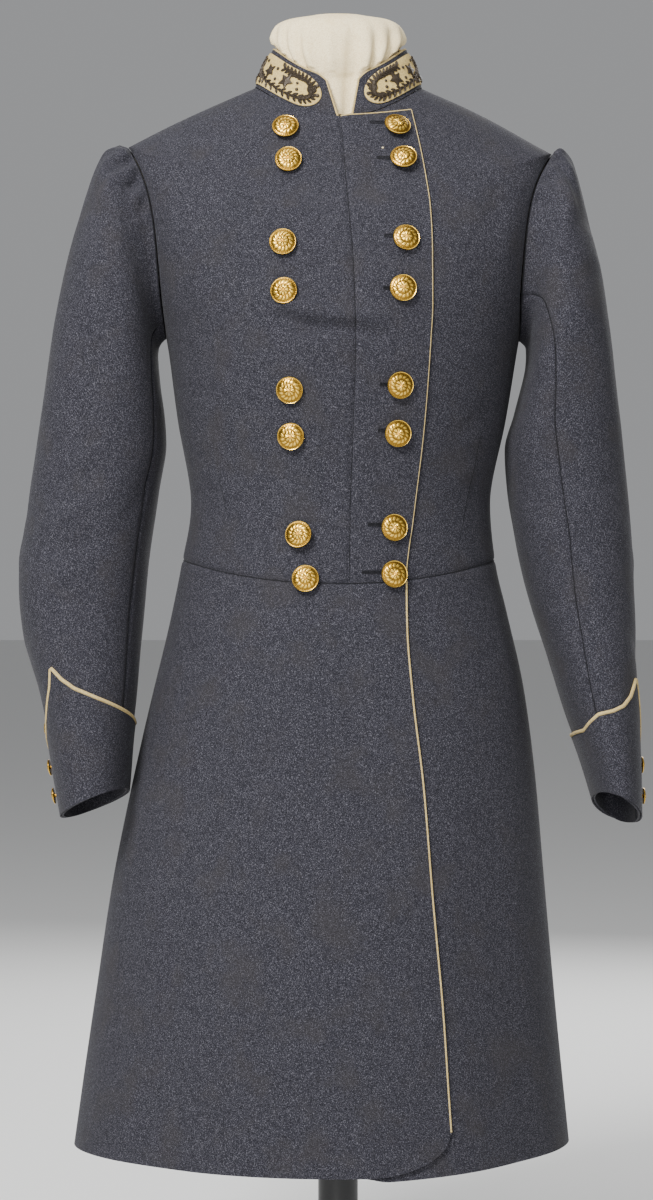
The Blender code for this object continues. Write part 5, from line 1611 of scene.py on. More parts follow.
class Looks:
    """Procedural materials, one for each finish."""

    def __init__(self) -> None:
        """Make every material."""
        self.weave = self._weave_group()
        self.wool = self._cloth("heathered_wool", (0.0052, 0.0050, 0.0080), (0.0195, 0.0190, 0.0268),
                                (0.205, 0.200, 0.232), (0.028, 0.025, 0.0255), 760.0, 0.50, 0.00011)
        # Dark thread for the buttonholes, also used for the cords of painted shade in the seams,
        # darts and slits.
        self.lapped = self._cloth("worked_thread", (0.005, 0.005, 0.007), (0.010, 0.010, 0.013),
                                  (0.03, 0.03, 0.036), (0.01, 0.009, 0.008), 900.0, 0.2, 0.0001)
        self.piping = self._cloth("cream_piping", (0.34, 0.245, 0.10), (0.54, 0.42, 0.19),
                                  (0.68, 0.56, 0.30), (0.37, 0.26, 0.10), 700.0, 0.3, 0.00012)
        self.patch = self._cloth("cream_patch", (0.40, 0.285, 0.105), (0.58, 0.44, 0.175),
                                 (0.70, 0.56, 0.27), (0.42, 0.29, 0.10), 600.0, 0.3, 0.00010)
        self.cover = self._cloth("white_cotton", (0.72, 0.57, 0.31), (0.95, 0.82, 0.53),
                                 (0.98, 0.91, 0.70), (0.74, 0.57, 0.29), 900.0, 0.15, 0.00006)
        self.form = self._cloth("form_linen", (0.42, 0.36, 0.27), (0.58, 0.52, 0.42),
                                (0.68, 0.62, 0.52), (0.50, 0.42, 0.32), 700.0, 0.1, 0.00010)
        self.bullion = self._metal("tarnished_bullion", (0.016, 0.011, 0.007),
                                   (0.070, 0.050, 0.030), 0.45, 0.42, 1500.0, 0.0003)
        self.gilt = self._gilt()
        self.steel = self._metal("black_steel", (0.012, 0.012, 0.013), (0.020, 0.020, 0.021),
                                 0.0, 0.38, 300.0, 0.00002)

    @staticmethod
    def _weave_group() -> bpy.types.NodeTree:
        """Shader nodes: mixed fibres in three tones, and their height.

        Returns:
            The node group.
        """
        group = Socketed("mixed_fibres", "ShaderNodeTree")
        group.give("Place", "NodeSocketVector")
        for name in ("Dark", "Middle", "Light", "Stain"):
            group.give(name, "NodeSocketColor", (0.1, 0.1, 0.1, 1.0))
        group.give("Fineness", "NodeSocketFloat", 500.0)
        group.give("Contrast", "NodeSocketFloat", 0.3)
        group.take("Color", "NodeSocketColor")
        group.take("Height", "NodeSocketFloat")

        def noise(scale: float | bpy.types.NodeSocket, detail: float, rough: float,
                  stretch: tuple = FULL_SIZE) -> bpy.types.NodeSocket:
            """Noise over the place, stretched along each axis.

            Args:
                scale: Its fineness.
                detail: Its octaves.
                rough: Their share.
                stretch: A factor for each axis.

            Returns:
                The noise's socket.
            """
            stretched = group.node("ShaderNodeVectorMath", operation="MULTIPLY")
            stretched.inputs[1].default_value = stretch
            group.link(group.start.outputs["Place"], stretched.inputs[0])
            node = group.node("ShaderNodeTexNoise")
            node.inputs["Detail"].default_value = detail
            node.inputs["Roughness"].default_value = rough
            if isinstance(scale, bpy.types.NodeSocket):
                group.link(scale, node.inputs["Scale"])
            else:
                node.inputs["Scale"].default_value = scale
            group.link(stretched.outputs[0], node.inputs["Vector"])
            return node.outputs["Fac"]

        def span(value: bpy.types.NodeSocket, low: float, high: float) -> bpy.types.NodeSocket:
            """Smooth step of a value between two of its own.

            Args:
                value: The value.
                low: Where the step starts.
                high: Where it ends.

            Returns:
                The step's socket.
            """
            node = group.node("ShaderNodeMapRange", interpolation_type="SMOOTHSTEP")
            node.inputs["From Min"].default_value = low
            node.inputs["From Max"].default_value = high
            group.link(value, node.inputs["Value"])
            return node.outputs["Result"]

        def mix(factor: bpy.types.NodeSocket, one: bpy.types.NodeSocket,
                two: bpy.types.NodeSocket) -> bpy.types.NodeSocket:
            """Blend of two colours.

            Args:
                factor: Share of the second.
                one: First colour.
                two: Second colour.

            Returns:
                The colour's socket.
            """
            node = group.node("ShaderNodeMix", data_type="RGBA")
            group.link(factor, node.inputs[0])
            group.link(one, node.inputs[6])
            group.link(two, node.inputs[7])
            return node.outputs[2]
        fine = group.start.outputs["Fineness"]
        fibres = noise(fine, 3.0, 0.62, (1.0, 1.0, 1.7))
        specks = noise(group.math("MULTIPLY", fine, 1.45), 2.0, 0.5, (1.6, 1.6, 1.0))
        clouds = noise(26.0, 3.0, 0.55)
        streaks = noise(group.math("MULTIPLY", fine, 0.42), 2.0, 0.5, (1.0, 1.0, 0.35))
        tone = mix(span(fibres, 0.34, 0.64), group.start.outputs["Dark"],
                   group.start.outputs["Middle"])
        bright = group.math("MULTIPLY", span(specks, 0.50, 0.72), group.start.outputs["Contrast"])
        tone = mix(bright, tone, group.start.outputs["Light"])
        streak = group.math("MULTIPLY", span(streaks, 0.5, 0.72), 0.25)
        tone = mix(streak, tone, group.start.outputs["Dark"])
        stain = group.math("MULTIPLY", span(clouds, 0.48, 0.72), 0.42)
        tone = mix(stain, tone, group.start.outputs["Stain"])
        group.link(tone, group.end.inputs["Color"])
        height = group.math("ADD", fibres, group.math("MULTIPLY", specks, 0.6))
        group.link(height, group.end.inputs["Height"])
        return group.tree

    @staticmethod
    def _start(name: str) -> tuple:
        """New material, its tree, shader, object coordinates and bump node.

        Args:
            name: The material's name.

        Returns:
            These five.
        """
        material = bpy.data.materials.new(name)
        material.use_nodes = True
        tree = material.node_tree
        shader = tree.nodes["Principled BSDF"]
        coordinates = tree.nodes.new("ShaderNodeTexCoord")
        bump = tree.nodes.new("ShaderNodeBump")
        tree.links.new(bump.outputs["Normal"], shader.inputs["Normal"])
        return material, tree, shader, coordinates.outputs["Object"], bump

    def _cloth(self, name: str, dark: tuple, middle: tuple, light: tuple, stain: tuple,
               fineness: float, contrast: float, relief: float) -> bpy.types.Material:
        """Matt cloth of mixed fibres.

        Args:
            name: The material's name.
            dark: Linear colour of its shaded fibres.
            middle: Its main colour.
            light: Its bright fibres.
            stain: The tone of its slow mottling.
            fineness: Fibre clumps for each metre.
            contrast: Share of the bright fibres.
            relief: Depth of the nap in metres.

        Returns:
            The material.
        """
        material, tree, shader, place, bump = self._start(name)
        fibres = tree.nodes.new("ShaderNodeGroup")
        fibres.node_tree = self.weave
        tree.links.new(place, fibres.inputs["Place"])
        for key, value in (("Dark", dark), ("Middle", middle), ("Light", light), ("Stain", stain)):
            fibres.inputs[key].default_value = (*value, 1.0)
        fibres.inputs["Fineness"].default_value = fineness
        fibres.inputs["Contrast"].default_value = contrast
        tree.links.new(fibres.outputs["Color"], shader.inputs["Base Color"])
        tree.links.new(fibres.outputs["Height"], bump.inputs["Height"])
        bump.inputs["Strength"].default_value = 0.6
        bump.inputs["Distance"].default_value = relief * 2.0
        shader.inputs["Roughness"].default_value = 0.92
        shader.inputs["Specular IOR Level"].default_value = 0.25
        shader.inputs["Sheen Weight"].default_value = 0.03
        shader.inputs["Sheen Roughness"].default_value = 0.45
        return material

    def _metal(self, name: str, dark: tuple, light: tuple, metallic: float, rough: float,
               scale: float, relief: float) -> bpy.types.Material:
        """Metal or paint with a slight unevenness.

        Args:
            name: The material's name.
            dark: Linear colour of its low spots.
            light: Its main colour.
            metallic: Share of metal.
            rough: Roughness.
            scale: Spots for each metre.
            relief: Their depth in metres.

        Returns:
            The material.
        """
        material, tree, shader, place, bump = self._start(name)
        noise = tree.nodes.new("ShaderNodeTexNoise")
        noise.inputs["Scale"].default_value = scale
        noise.inputs["Detail"].default_value = 3.0
        ramp = tree.nodes.new("ShaderNodeMix")
        ramp.data_type = "RGBA"
        ramp.inputs[6].default_value, ramp.inputs[7].default_value = (*dark, 1.0), (*light, 1.0)
        tree.links.new(place, noise.inputs["Vector"])
        tree.links.new(noise.outputs["Fac"], ramp.inputs[0])
        tree.links.new(ramp.outputs[2], shader.inputs["Base Color"])
        tree.links.new(noise.outputs["Fac"], bump.inputs["Height"])
        bump.inputs["Distance"].default_value = relief
        shader.inputs["Metallic"].default_value = metallic
        shader.inputs["Roughness"].default_value = rough
        return material

    def _gilt(self) -> bpy.types.Material:
        """Gilt brass, bright on its raised parts, with painted shade as brown in its hollows and
        sides.

        Returns:
            The material.
        """
        material, tree, shader, place, bump = self._start("gilt_brass")
        hollow = tree.nodes.new("ShaderNodeAttribute")
        hollow.attribute_name = "hollow"
        noise = tree.nodes.new("ShaderNodeTexNoise")
        noise.inputs["Scale"].default_value = 650.0
        noise.inputs["Detail"].default_value = 4.0
        add = tree.nodes.new("ShaderNodeMath")
        add.operation = "MULTIPLY_ADD"
        add.inputs[1].default_value = 0.55
        ramp = tree.nodes.new("ShaderNodeValToRGB")
        # The brown end of the ramp is painted shade in the hollows.
        ramp.color_ramp.elements[0].position, ramp.color_ramp.elements[1].position = 0.35, 1.0
        ramp.color_ramp.elements[0].color = (1.0, 0.66, 0.12, 1.0)
        ramp.color_ramp.elements[1].color = (0.24, 0.125, 0.014, 1.0)
        tree.links.new(place, noise.inputs["Vector"])
        tree.links.new(noise.outputs["Fac"], add.inputs[0])
        tree.links.new(hollow.outputs["Fac"], add.inputs[2])
        tree.links.new(add.outputs[0], ramp.inputs["Fac"])
        tree.links.new(ramp.outputs["Color"], shader.inputs["Base Color"])
        tree.links.new(noise.outputs["Fac"], bump.inputs["Height"])
        bump.inputs["Distance"].default_value = 0.00012
        bump.inputs["Strength"].default_value = 0.5
        shader.inputs["Metallic"].default_value = 0.95
        shader.inputs["Roughness"].default_value = 0.26
        return material


@dataclass
class Hole:
    """A buttonhole of the right lapel: from x1 to x2 at a height, in millimetres."""

    x1: float
    x2: float
    height: float


HOLES = [Hole(27, 45, 1017), Hole(33, 50, 985), Hole(39, 56, 915), Hole(38, 54, 870.5),
         Hole(35, 51, 789), Hole(33.5, 49, 750), Hole(25, 43, 669.5), Hole(20, 42, 628.5)]

DARTS = [
    [(-44.3, 1022), (-59.2, 1007.5), (-72.9, 994.6), (-79.7, 987)],
    [(64.5, 1020), (78, 999), (92.9, 976.7)],
    [(-118, 759), (-104.6, 722), (-96.4, 683.6), (-89.1, 643)],
    [(124, 750), (113, 700), (104.8, 656), (101, 640)],
]


def front_spot(x: float, height: float, lift: float = 0.0) -> tuple:
    """Point and normal on the shown front at x and a height in millimetres.

    Args:
        x: Millimetres to the wearer's left.
        height: Height in millimetres.
        lift: Metres off the cloth.

    Returns:
        The point and the normal.
    """
    level = BODY.level_at(x * MM, height * MM, WAIST_SEAM - 1.0, float(NECK))
    turn = BODY.turn_at(x * MM, level)
    point, normal = BODY.point(turn, level), BODY.normal(turn, level)
    over = float(lap_lift(turn)) if x * MM < BODY.value("edge", level) else 0.0
    point = point + normal * over
    soft = FIELDS[Surface.BODY].offset(point[None])[0]
    return point + normal * (soft + FACE_PROUD + lift), normal


def smooth_line(corners: Sequence[tuple], count: int) -> np.ndarray:
    """Even points along a smooth line through a few corners.

    Args:
        corners: Points of the line.
        count: How many points to return.

    Returns:
        The points, one a row.
    """
    tracks = [Track([corner[axis] for corner in corners]) for axis in range(len(corners[0]))]
    place = np.linspace(0.0, len(corners) - 1.0, count)
    return np.stack([track.at(place) for track in tracks], axis=-1)


@dataclass
class Relief:
    """The stamped face of a button: a generic rosette in a ring of beads."""

    rings: int = 31
    steps: int = 98
    petals: int = 8
    leaves: int = 14
    beads: int = 36

    def mesh_points(self, radius: float) -> tuple:
        """Points, faces and hollow shares of a button that faces +Z.

        Args:
            radius: The button's radius in metres.

        Returns:
            Points, faces and a share for each point of how deep in the relief it lies.
        """
        share = np.linspace(0.0, 1.0, self.rings + 1)[1:, None]
        turn = np.linspace(0.0, 2.0 * math.pi, self.steps, endpoint=False)[None, :]
        dome = 0.38 + 0.26 * (1.0 - share ** 2.2)
        petal = np.abs(np.cos(turn * self.petals / 2.0)) ** 0.7
        inside = np.clip(share / 0.46, 0.0, 1.0)
        flower = petal * np.sin(math.pi * inside) ** 0.7 * (share < 0.46)
        vein = np.exp(-(np.sin(turn * self.petals / 2.0) / 0.14) ** 2)
        flower = flower * (1.0 - 0.45 * vein)
        boss = np.exp(-(share / 0.11) ** 4) * 1.1
        between = np.clip((share - 0.47) / 0.33, 0.0, 1.0)
        twist = turn + 0.30 * between
        leaf = np.abs(np.cos(twist * self.leaves / 2.0)) ** 0.8 * np.sin(math.pi * between) ** 0.6
        rib = np.exp(-(np.sin(twist * self.leaves / 2.0) / 0.12) ** 2)
        leaf = leaf * (1.0 - 0.45 * rib) * 0.9
        bead = np.clip(np.cos(turn * self.beads), 0.0, 1.0) * \
            np.exp(-((share - 0.865) / 0.032) ** 2)
        rim = np.exp(-((share - 0.965) / 0.030) ** 2) * 1.1
        raised = flower + boss + leaf + bead * 0.8 + rim
        height = (dome + raised * 0.052) * radius - 0.014 * radius
        x, y = radius * share * np.cos(turn), radius * share * np.sin(turn)
        top = np.stack((x, y, height), axis=-1)
        hollow = 1.0 - np.clip(raised, 0.0, 1.0)
        rows, lows = [top], [(0.985, 0.31), (0.955, 0.265), (0.60, 0.250), (0.25, 0.245),
                             (0.24, 0.02), (0.10, 0.02)]
        for out, up in lows:
            rows.append(np.stack((radius * out * np.cos(turn), radius * out * np.sin(turn),
                                  np.full(turn.shape, radius * up)), axis=-1))
        grid = np.concatenate(rows)
        verts = np.concatenate(([[0.0, 0.0, float(height[0].mean())]], grid.reshape(-1, 3)))
        # The sides and underside count as deep, so they take the painted shade too.
        hollows = np.concatenate(([0.0], hollow.ravel(), np.full(len(lows) * self.steps, 0.9)))
        count = len(grid)
        faces = [(0, 1 + n, 1 + (n + 1) % self.steps) for n in range(self.steps)]
        for row in range(count - 1):
            for n in range(self.steps):
                a, b = 1 + row * self.steps + n, 1 + row * self.steps + (n + 1) % self.steps
                faces.append((a, a + self.steps, b + self.steps, b))
        last = 1 + (count - 1) * self.steps
        faces.append(tuple(range(last + self.steps - 1, last - 1, -1)))
        return verts, faces, hollows


class Garment:
    """Builds every shown piece of the coat, its form and its stand."""

    def __init__(self, frame: dict) -> None:
        """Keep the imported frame, and make the materials and the maker."""
        self.frame, self.looks, self.maker = frame, Looks(), Maker()
        self.cuts: dict = {}

    def _own(self, item: bpy.types.Object, slot: Slot, *nodes: str) -> bpy.types.Object:
        """Fix a piece to the body, and name its slot and the solids it stands for.

        Args:
            item: The piece.
            slot: Its material slot.
            nodes: The solids it replaces.

        Returns:
            The piece.
        """
        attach(item, "root")
        if nodes:
            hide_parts(*nodes)
        LOG.info("%s, slot %s, in place of %s", item.name, slot.value, nodes or "nothing")
        return item

    def _sewn(self, name: str, lines: Sequence[np.ndarray], radius: float,
              sides: int = 6) -> None:
        """Dark cord along lines on the wool, as painted shade in seams and slits and as buttonhole
        thread.
        """
        self._own(self.maker.cord(name, lines, radius, self.looks.lapped, sides), Slot.WOOL)

    def _sheet(self, item: bpy.types.Object, grid: Grid) -> None:
        """State a cloth piece's own cut.

        Args:
            item: The piece.
            grid: Its outer face.
        """
        width, length, area = flat_cut(grid)
        self.cuts[item.name] = (round(width, 3), round(length, 3), round(area, 4))

    def panel(self, node: str, grid: Grid, slot: Slot = Slot.WOOL, thick: float = SHELL) -> None:
        """One cloth panel in place of its solid.

        Args:
            node: The solid's name.
            grid: The panel's outer face.
            slot: Its material slot.
            thick: Its thickness in metres.
        """
        material = {Slot.WOOL: self.looks.wool, Slot.PATCH: self.looks.patch}[slot]
        item = shell("cloth_" + node, grid, thick, material)
        self._own(item, slot, node)
        self._sheet(item, grid)

    def cloth(self) -> None:
        """Every panel of the coat."""
        for side in Side:
            word = side.word
            self.panel(f"front_{word}", PANELS.front(side))
            self.panel(f"side_body_{word}", PANELS.side_body(side))
            self.panel(f"back_{word}", PANELS.back(side))
            self.panel(f"top_sleeve_{word}", PANELS.sleeve(side, True))
            self.panel(f"under_sleeve_{word}", PANELS.sleeve(side, False))
            self.panel(f"cuff_{word}", PANELS.cuff(side), thick=THIN_SHELL)
            self.panel(f"collar_patch_{word}", PANELS.patch(side), Slot.PATCH, THIN_SHELL)
        self.panel("lapel_right", PANELS.right_lapel())
        self.panel("skirt_right", PANELS.right_skirt())
        self.panel("skirt_left", PANELS.left_skirt())
        self.panel("collar", PANELS.collar())

    def left_lapel(self) -> None:
        """The left lapel, all of it under the right one."""
        level = PANELS.bodice_levels()[::3][:, None]
        share = steps_between(0.08, 0.005)[None, :]
        seam = BODY.turn_at(BODY.value("seam", level), level)
        edge = math.radians(LEFT_LAPEL_EDGE)
        turn = edge + (seam - edge) * share
        turn, level = np.broadcast_arrays(turn, level)
        grid = Grid(BODY.point(turn, level), BODY.normal(turn, level))
        self.panel("lapel_left", grid.move(FIELDS[Surface.BODY].offset(grid.points)))

    def _edge_cord(self, node: str, grid_line: np.ndarray, normals: np.ndarray,
                   outward: np.ndarray, radius: float, sunk: float) -> None:
        """Piping just outside an edge of cloth.

        Args:
            node: The solid's name.
            grid_line: Points of the edge.
            normals: The cloth's outward directions there.
            outward: Directions away from the cloth's edge.
            radius: The piping's radius.
            sunk: Metres in from the face.
        """
        ways = unit(outward - normals * np.sum(outward * normals, axis=1, keepdims=True))
        path = grid_line + ways * radius * PIPING_OUT - normals * sunk
        item = self.maker.cord("cord_" + node, [path], radius, self.looks.piping)
        self._own(item, Slot.PIPING, node)

    def piping(self) -> None:
        """Cream piping along the lapel, skirt, collar and cuffs."""
        lapel, skirt = PANELS.right_lapel(), PANELS.right_skirt()
        for node, grid, column, inner, radius in (
                ("piping_lapel", lapel, -1, -2, LAPEL_PIPING),
                ("piping_skirt", skirt, 0, 1, SKIRT_PIPING)):
            line, normals = grid.points[:, column], grid.normals[:, column]
            self._edge_cord(node, line, normals, line - grid.points[:, inner], radius,
                            PIPING_SUNK)
        line, normals = lapel.points[-1], lapel.normals[-1]
        ways = unit(line - lapel.points[-2])
        path = line + ways * LAPEL_TOP_OUT - normals * LAPEL_TOP_SUNK
        top = self.maker.cord("cord_lapel_top", [path], LAPEL_TOP_PIPING, self.looks.piping, 8)
        self._own(top, Slot.PIPING)
        grid = PANELS.collar()
        rows, columns = grid.points.shape[:2]
        spots = [(row, 0) for row in range(rows - 1)] + \
                [(rows - 1, column) for column in range(columns)] + \
                [(row, columns - 1) for row in range(rows - 2, -1, -1)]
        line = np.array([grid.points[spot] for spot in spots])
        normals = np.array([grid.normals[spot] for spot in spots])
        away = []
        for row, column in spots:
            inner = (max(row - 1, 0) if row == rows - 1 else row,
                     min(max(column, 1), columns - 2))
            away.append(grid.points[row, column] - grid.points[inner])
        self._edge_cord("piping_collar", line, normals, np.array(away), COLLAR_PIPING,
                        COLLAR_PIPING_SUNK)
        for side in Side:
            start = PANELS.cuff_start(side, 0.002)
            angle, ring = PANELS.cuff_rows(side, start, np.ones(start.shape))
            sleeve = SLEEVES[side]
            points, normals = sleeve.point(angle, ring), sleeve.normal(angle, ring)
            soft = sleeve_softness(side, points)
            points = points + normals * (soft + CUFF_PIPING_RISE)[:, None]
            up = np.tile((0.0, 0.0, 1.0), (len(points), 1))
            ways = unit(up - normals * normals[:, 2:3])
            name = f"piping_cuff_{side.word}"
            item = self.maker.cord("cord_" + name, [points + ways * CUFF_PIPING_ABOVE],
                                   CUFF_PIPING, self.looks.piping)
            self._own(item, Slot.PIPING, name)

    def seams(self) -> None:
        """Dark cords of painted shade in darts and seams, worked buttonholes and lint on the front.
        """
        # Dark cords sunk in the darts and seams: painted shade of their grooves.
        self._sewn("sewn_darts", [np.array([front_spot(x, z, -DART_SUNK)[0]
                                            for x, z in smooth_line(corners, 24)])
                                  for corners in DARTS], DART_SEAM_SHADE)
        for word, line, radius in zip(("lapel", "waist"), self._seam_lines(),
                                      (LAPEL_SEAM_SHADE, WAIST_SEAM_SHADE)):
            self._sewn(f"sewn_{word}", [line], radius)
        angle = np.linspace(0.0, 360.0, 181)
        for side, sleeve in SLEEVES.items():
            self._sewn(f"sewn_sleeve_{side.word}", [self._sleeve_seam(side)], SLEEVE_SEAM_SHADE)
            inward = sleeve.normal(angle, np.full(angle.shape, 0.03)) * -ARMHOLE_SEAM_SHADE_SUNK
            line = sleeve.armhole(angle) + inward - (side.value * SLEEVE_GAP / 2.0, 0.0, 0.0)
            self._sewn(f"sewn_armhole_{side.word}", [line], ARMHOLE_SEAM_SHADE, 8)
        self._buttonholes()
        place, normal = front_spot(38.2, 993.8, 0.0006)
        lint = self._stamp_solid("lint_stamp", 0.0010, 0.0007, 0.0006)
        speck = self.maker.stamps("lint_speck", lint, [(place, np.array((1.0, 0.0, 0.3)), normal,
                                                       FULL_SIZE)], self.looks.cover, 0.0)
        self._own(speck, Slot.COVER)
        bpy.data.objects.remove(lint)

    def _buttonholes(self) -> None:
        """Worked buttonholes of the right lapel: thread loop and stitches, and the slit's painted
        shade.
        """
        loops, slits = [], []
        for hole in HOLES:
            turn = np.linspace(0.0, 2.0 * math.pi, 41)
            middle, half = (hole.x1 + hole.x2) / 2.0, (hole.x2 - hole.x1) / 2.0
            x = middle + half * np.sign(np.cos(turn)) * np.abs(np.cos(turn)) ** 0.35
            z = hole.height + HOLE_HALF * np.sin(turn)
            loops.append(np.array([front_spot(a, b, LOOP_RISE)[0] for a, b in zip(x, z)]))
            slits.append(np.array([front_spot(a, hole.height, 0.0)[0] for a in
                                   np.linspace(hole.x1 + 0.6, hole.x2 - 0.6, 16)]))
        self._sewn("worked_buttonholes", loops, LOOP_THREAD, 8)
        self._sewn("buttonhole_slits", slits, SLIT_SHADE)
        stitch = self._stamp_solid("stitch_stamp", 0.0009, 0.00026, 0.00022, sides=6)
        spots = []
        for hole in HOLES:
            count = int((hole.x2 - hole.x1) / STITCH_PITCH)
            for x in np.linspace(hole.x1, hole.x2, count):
                for way in (-1, 1):
                    place, normal = front_spot(float(x), hole.height + HOLE_HALF * way,
                                               STITCH_RISE)
                    spots.append((place, np.array((0.0, 0.0, 1.0)), normal, FULL_SIZE))
        thread = self.maker.stamps("buttonhole_stitches", stitch, spots, self.looks.lapped, 0.15)
        self._own(thread, Slot.WOOL)
        bpy.data.objects.remove(stitch)

    def _sleeve_seam(self, side: Side) -> np.ndarray:
        """Sunk line of a sleeve's front seam, which runs on down the cuff; its cord is painted
        shade.

        Args:
            side: The wearer's side.

        Returns:
            Points of the line.
        """
        sleeve = SLEEVES[side]
        ring = np.linspace(1.2, sleeve.last - 0.05, 160)
        angle = sleeve.seam(FRONT_SEAM[side], ring)
        points, normals = sleeve.point(angle, ring), sleeve.normal(angle, ring)
        turns, heights = np.array(CUFF_EDGES[side], float).T
        on_cuff = points[:, 2] < np.interp(angle, turns, heights) * MM
        lift = np.where(on_cuff, CUFF_SEAM_RISE, -SLEEVE_SEAM_SUNK)
        return points + normals * (sleeve_softness(side, points) + lift)[:, None]

    def _seam_lines(self) -> list:
        """Sunk lines of the lapel's centre seam and the waist seam on the shown cloth, as painted
        shade.

        Returns:
            Points of the two lines.
        """
        level = np.linspace(WAIST_SEAM + 0.05, NECK - 0.05, 150)
        lapel = BODY.turn_at(BODY.value("seam", level), level)
        waist = np.radians(np.linspace(-88.0, 88.0, 160))
        paths = []
        for turn, place in ((lapel, level), (waist, np.full(waist.shape, float(WAIST_SEAM)))):
            points, normals = BODY.point(turn, place), BODY.normal(turn, place)
            over = np.where(turn < BODY.turn_at(BODY.value("edge", place), place),
                            lap_lift(turn), 0.0)
            lift = FIELDS[Surface.BODY].offset(points) + over - SEAM_SUNK
            paths.append(points + normals * lift[:, None])
        return paths

    def _stamp_solid(self, name: str, half_x: float, half_y: float, half_z: float,
                     vein: float = 0.0, sides: int = 12) -> bpy.types.Object:
        """Small rounded solid, as long as its half sizes say, with a groove along it.

        Args:
            name: The solid's name.
            half_x: Half its length in metres.
            half_y: Half its width.
            half_z: Half its height.
            vein: Share of its height that the groove takes.
            sides: Sides of its round.

        Returns:
            The solid.
        """
        mesh = bpy.data.meshes.new(name)
        work = bmesh.new()
        bmesh.ops.create_uvsphere(work, u_segments=sides, v_segments=sides // 2 + 1, radius=1.0)
        for vert in work.verts:
            x, y, z = vert.co
            taper = 1.0 - 0.35 * abs(x) ** 2
            vert.co = (x * half_x, y * half_y * taper,
                       z * half_z - vein * half_z * math.exp(-(y / 0.25) ** 2) * (z > 0.2))
        work.to_mesh(mesh)
        work.free()
        return linked(name, mesh)

    def _star_solid(self, radius: float) -> bpy.types.Object:
        """Five-pointed padded star that faces +Z, one point along +X.

        Args:
            radius: The star's radius in metres.

        Returns:
            The solid.
        """
        verts, faces = [(0.0, 0.0, 0.0016), (0.0, 0.0, -0.0003)], []
        for number in range(10):
            out = radius if number % 2 == 0 else radius * 0.50
            turn = math.pi * number / 5.0
            x, y = out * math.cos(turn), out * math.sin(turn)
            verts += [(x * 0.96, y * 0.96, 0.0006), (x, y, -0.0003)]
        for number in range(10):
            a, b = 2 + 2 * number, 2 + 2 * ((number + 1) % 10)
            faces += [(0, a, b), (a, a + 1, b + 1, b), (1, b + 1, a + 1)]
        return mesh_from("star_stamp", np.array(verts), faces, self.looks.bullion, 20.0)

    def _patch_spot(self, side: Side, back: float, up: float, lift: float) -> tuple:
        """Place on a collar patch: millimetres back from its front end and up its middle.

        Args:
            side: The wearer's side.
            back: Millimetres back.
            up: Millimetres up.
            lift: Metres off the cloth.

        Returns:
            Point, normal, and directions ahead and up on the patch.
        """
        front = float(COLLAR.turn_at(PATCH_FRONT[side], PATCH_MIDDLE))
        turn = front + (side.value * math.radians(PATCH_BACK_TURN) - front) * back / PATCH_LENGTH_MM
        rise = PATCH_MIDDLE + PATCH_HALF * up / PATCH_HALF_MM
        normal = COLLAR.normal(turn, rise)
        point = COLLAR.point(turn, rise) + normal * (PATCH_RISE + lift)
        ahead = unit(COLLAR.point(turn + side.value * 0.01, rise) - COLLAR.point(turn, rise))
        return point, normal, ahead, unit(np.cross(normal, ahead) * side.value)

    def embroidery(self) -> None:
        """Sprays of padded leaves with berries round stars, in dark metal thread."""
        leaf = self._stamp_solid("leaf_stamp", 0.0033, 0.00148, 0.0013, 0.55)
        berry = self._stamp_solid("berry_stamp", 0.00165, 0.00165, 0.0012)
        stars = [self._star_solid(0.0080), self._star_solid(0.0071)]
        spray = smooth_line([(62, 11.0), (66, 3), (59, -5.5), (44, -10.2), (28, -10.6),
                             (15, -9.5), (8.5, -4), (8.2, 3), (13, 9), (22, 10.8), (33, 10.8)], 31)
        back_spray = smooth_line([(88, 10), (86, 0), (80, -8), (70, -9.5)], 8)
        for side in Side:
            leaves, berries = [], []
            for line in (spray, back_spray):
                for number in range(1, len(line)):
                    place, step = line[number], unit(line[number] - line[number - 1])
                    for lean, away, lift in ((-1, 3.4, 0.0001), (1, 3.4, 0.0001), (0, 0.5, 0.0007)):
                        turn = lean * math.radians(40)
                        way = np.array((step[0] * math.cos(turn) - step[1] * math.sin(turn),
                                        step[0] * math.sin(turn) + step[1] * math.cos(turn)))
                        at = place + way * away
                        point, normal, ahead, up = self._patch_spot(side, at[0], at[1], lift)
                        leaves.append((point, ahead * way[0] + up * way[1], normal,
                                       FULL_SIZE))
                    if number % 3 == 1:
                        at = place - np.array((step[1], -step[0])) * 5.6
                        if abs(at[1]) < 13.4:
                            point, normal, ahead, up = self._patch_spot(side, at[0], at[1],
                                                                        0.0003)
                            berries.append((point, ahead, normal, FULL_SIZE))
            for back, high in ((20.5, 3.4), (20.0, -2.6), (40.8, -3.4), (41.5, 6.8), (56.8, 9.0)):
                point, normal, ahead, up = self._patch_spot(side, back, high, 0.0003)
                berries.append((point, ahead, normal, (0.9, 0.9, 0.9)))
            for number in range(9):
                turn = number * 2.0 * math.pi / 9.0
                at = (76.0 + 3.4 * math.cos(turn), 5.0 + 3.4 * math.sin(turn))
                point, normal, ahead, up = self._patch_spot(side, *at, 0.0002)
                berries.append((point, ahead, normal, (0.7, 0.7, 0.8)))
            word = side.word
            pieces = [self.maker.stamps(f"leaves_{word}", leaf, leaves, self.looks.bullion, 0.14),
                      self.maker.stamps(f"berries_{word}", berry, berries, self.looks.bullion,
                                        0.12)]
            stems = [np.array([self._patch_spot(side, at[0], at[1], 0.0002)[0] for at in line])
                     for line in (spray, back_spray)]
            pieces.append(self.maker.cord(f"stems_{word}", stems, 0.00045, self.looks.bullion, 6))
            for number, (star, back, up, turn) in enumerate(
                    ((stars[0], 30.5, 0.2, 0.5), (stars[1], 49.5, 1.0, 0.9)), start=1):
                point, normal, ahead, high = self._patch_spot(side, back, up, 0.0003)
